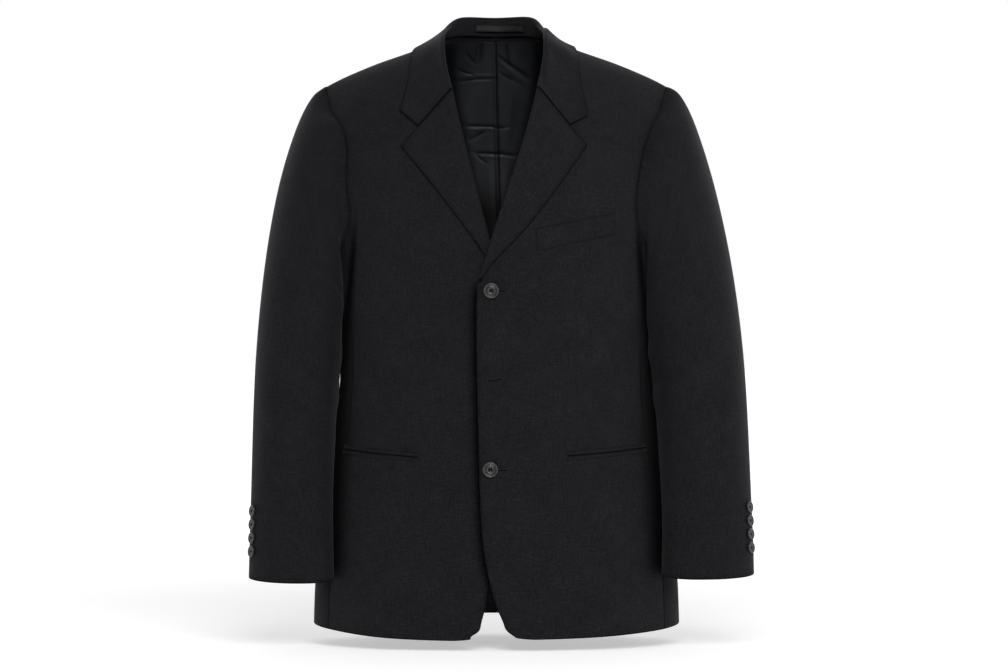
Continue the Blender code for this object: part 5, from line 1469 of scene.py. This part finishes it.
def cuff_buttons(side):
    """Four buttons up the outer back of the cuff."""
    angle = math.radians(CUFF_BUTTON_ANGLE)
    stations = np.linspace(10, 13, 61)
    line = sleeve_section(side, np.full(61, angle), stations)
    height = line[:, 2] - line[-1, 2]
    step = 0.02
    for i in range(4):
        station = float(np.interp(CUFF_BUTTON_FIRST + i * CUFF_BUTTON_STEP, height[::-1], stations[::-1]))
        along = sleeve_section(side, angle + step, station) - sleeve_section(side, angle - step, station)
        down = sleeve_section(side, angle, station + step) - sleeve_section(side, angle, station - step)
        normal = unit(np.cross(along, down))
        lift = BUTTON_STANDOFF + float(sleeve_folds(angle, station))
        spot = (sleeve_section(side, angle, station) + normal * lift) * mirror(side)
        name = f"button_cuff_{side}_{i + 1}"
        button_object(name + "_turned", name, CUFF_BUTTON_RADIUS, spot, normal * mirror(side), 40)


# ---------------------------------------------------------------- buttonholes
BUTTONHOLES = columns(  # centres and half lengths in front view, and how much the far end drops
    "name x z half drop",
    [
        ("upper", 0.0035, -0.3420, 0.0100, 0.0004),
        ("middle", -0.0010, -0.4555, 0.0098, 0.0014),
        ("lower", 0.0035, -0.5700, 0.0100, 0.0004),
    ],
)


LIP, STITCH = 0.00075, 0.0012  # half the slit's width, and how far the stitches reach


def buttonhole(name, x, z, half, drop):
    """A worked buttonhole: a slit with close stitches over its lips and a bar at its inner end."""
    parts = []
    across = np.linspace(0.50, 1.0, 4)
    lift = 0.00035 * np.sin(np.linspace(0.3, 1, 4) * math.pi) + 0.00015
    for sign in (-1, 1):
        for t in np.linspace(-1, 1, 34):
            px = x + half * t + 0.00012 * math.sin(t * 40) + 0 * across
            pz = z + sign * (LIP * 0.3 + STITCH * across) + drop * t
            parts.append(tube(on_front("left", px, pz, lift), HOLE_THREAD, 5))
    along = np.linspace(0, 0.0010, 3)
    for end in (-1, 1):
        for t in np.linspace(-1, 1, 5):
            pz = z + t * (LIP + STITCH) * 0.8 + end * drop + 0 * along
            path = on_front("left", x + end * (half + along), pz, np.array([0.0002, 0.0004, 0.0001]))
            parts.append(tube(path, HOLE_THREAD, 5))
    joined("buttonhole_" + name, parts, light_thread)
    # the slit is a near-black tube standing in for the shade inside the opening
    ends = np.linspace(-1, 1, 15)
    size = LIP * np.sqrt(np.maximum(1 - ends**2, 0.02))
    slit = tube(on_front("left", x + half * ends, z + drop * ends, 0.0003 + 0 * ends), size)
    joined("buttonhole_slit_shadow_" + name, [slit], dark_thread_and_shadow)


# ---------------------------------------------------------------- the garment
for side in SIDES:
    front_panel(side)
    side_panel(side)
    back_panel(side)
    lapel(side)
    sleeve(side)
    hip_pocket(side)
    cuff_buttons(side)
collar()
lining()
hanger_loop()
breast_welt()
seam_threads()
front_buttons()
for hole in rows_of(BUTTONHOLES):
    buttonhole(**hole)

# ---------------------------------------------------------------- floor, light and camera
FLOOR_Z = -0.800
# the floor glows as painted light: none in front, rising to full brightness behind the garment
FLOOR_GLOW = columns(
    "y glow", [(-30, 0.0), (-1.0, 0.0), (-0.5, 0.43), (0.6, 0.53), (2.5, 0.90), (5.0, 1.0), (30, 1.0)]
)
GREY, WHITE = (0.78, 0.78, 0.78, 1), (1, 1, 1, 1)
ground = new_material(
    "ground", Base_Color=GREY, Roughness=0.9, Specular_IOR_Level=0.0, Emission_Color=WHITE
)
ground.give(Emission_Strength=ground.add("Attribute", (), "Fac", attribute_name="edge"))
places = np.array([(x, y, FLOOR_Z) for y in FLOOR_GLOW["y"] for x in (-30, 30)], float)
strips = [(2 * i, 2 * i + 1, 2 * i + 3, 2 * i + 2) for i in range(len(FLOOR_GLOW["y"]) - 1)]
floor = mesh_from("floor", places, strips, edge=np.repeat(FLOOR_GLOW["glow"], 2))
floor.data.materials.append(ground.block)

# A bright wall behind the garment and a dim room in front.
sky = Graph(bpy.data.worlds.new("studio"), "Background", Color=WHITE)
depth = sky.add("SeparateXYZ", {0: sky.add("TexCoord", (), "Generated")}, "Y")
reach = {"Value": depth, "From Min": 0.1, "From Max": 0.9, "To Min": 0.12, "To Max": 1.0}
sky.give(Strength=sky.add("MapRange", reach, interpolation_type="SMOOTHSTEP"))
bpy.context.scene.world = sky.block

LIGHTS = columns("name place aim size power", [
    ("key", (0.35, -2.3, 1.15), (0.0, 0.0, -0.3), 1.7, 58.0),
    ("side_left", (3.2, -0.6, 0.0), (0.0, 0.0, -0.4), 1.6, 23.0),
    ("side_right", (-3.2, -0.6, 0.0), (0.0, 0.0, -0.4), 1.6, 14.0),
    ("top", (0.0, 0.4, 3.0), (0.0, 0.0, -0.4), 2.4, 9.0),
])
for row in rows_of(LIGHTS):
    lamp = bpy.data.lights.new(row["name"], "AREA")
    lamp.size = row["size"]
    lamp.energy = row["power"]
    holder = bpy.data.objects.new(row["name"], lamp)
    holder.location = row["place"]
    aim = Vector(row["aim"]) - Vector(row["place"])
    holder.rotation_euler = aim.to_track_quat("-Z", "Y").to_euler()
    bpy.context.scene.collection.objects.link(holder)

lens = bpy.data.cameras.new("camera")
lens.lens = 109.0
lens.sensor_width = 36.0
camera = bpy.data.objects.new("camera", lens)
camera.location = (0.0098, -4.0, -0.3991)
camera.rotation_euler = (math.pi / 2, 0, 0)
bpy.context.scene.collection.objects.link(camera)
bpy.context.scene.camera = camera
bpy.context.scene.view_settings.view_transform = "Standard"
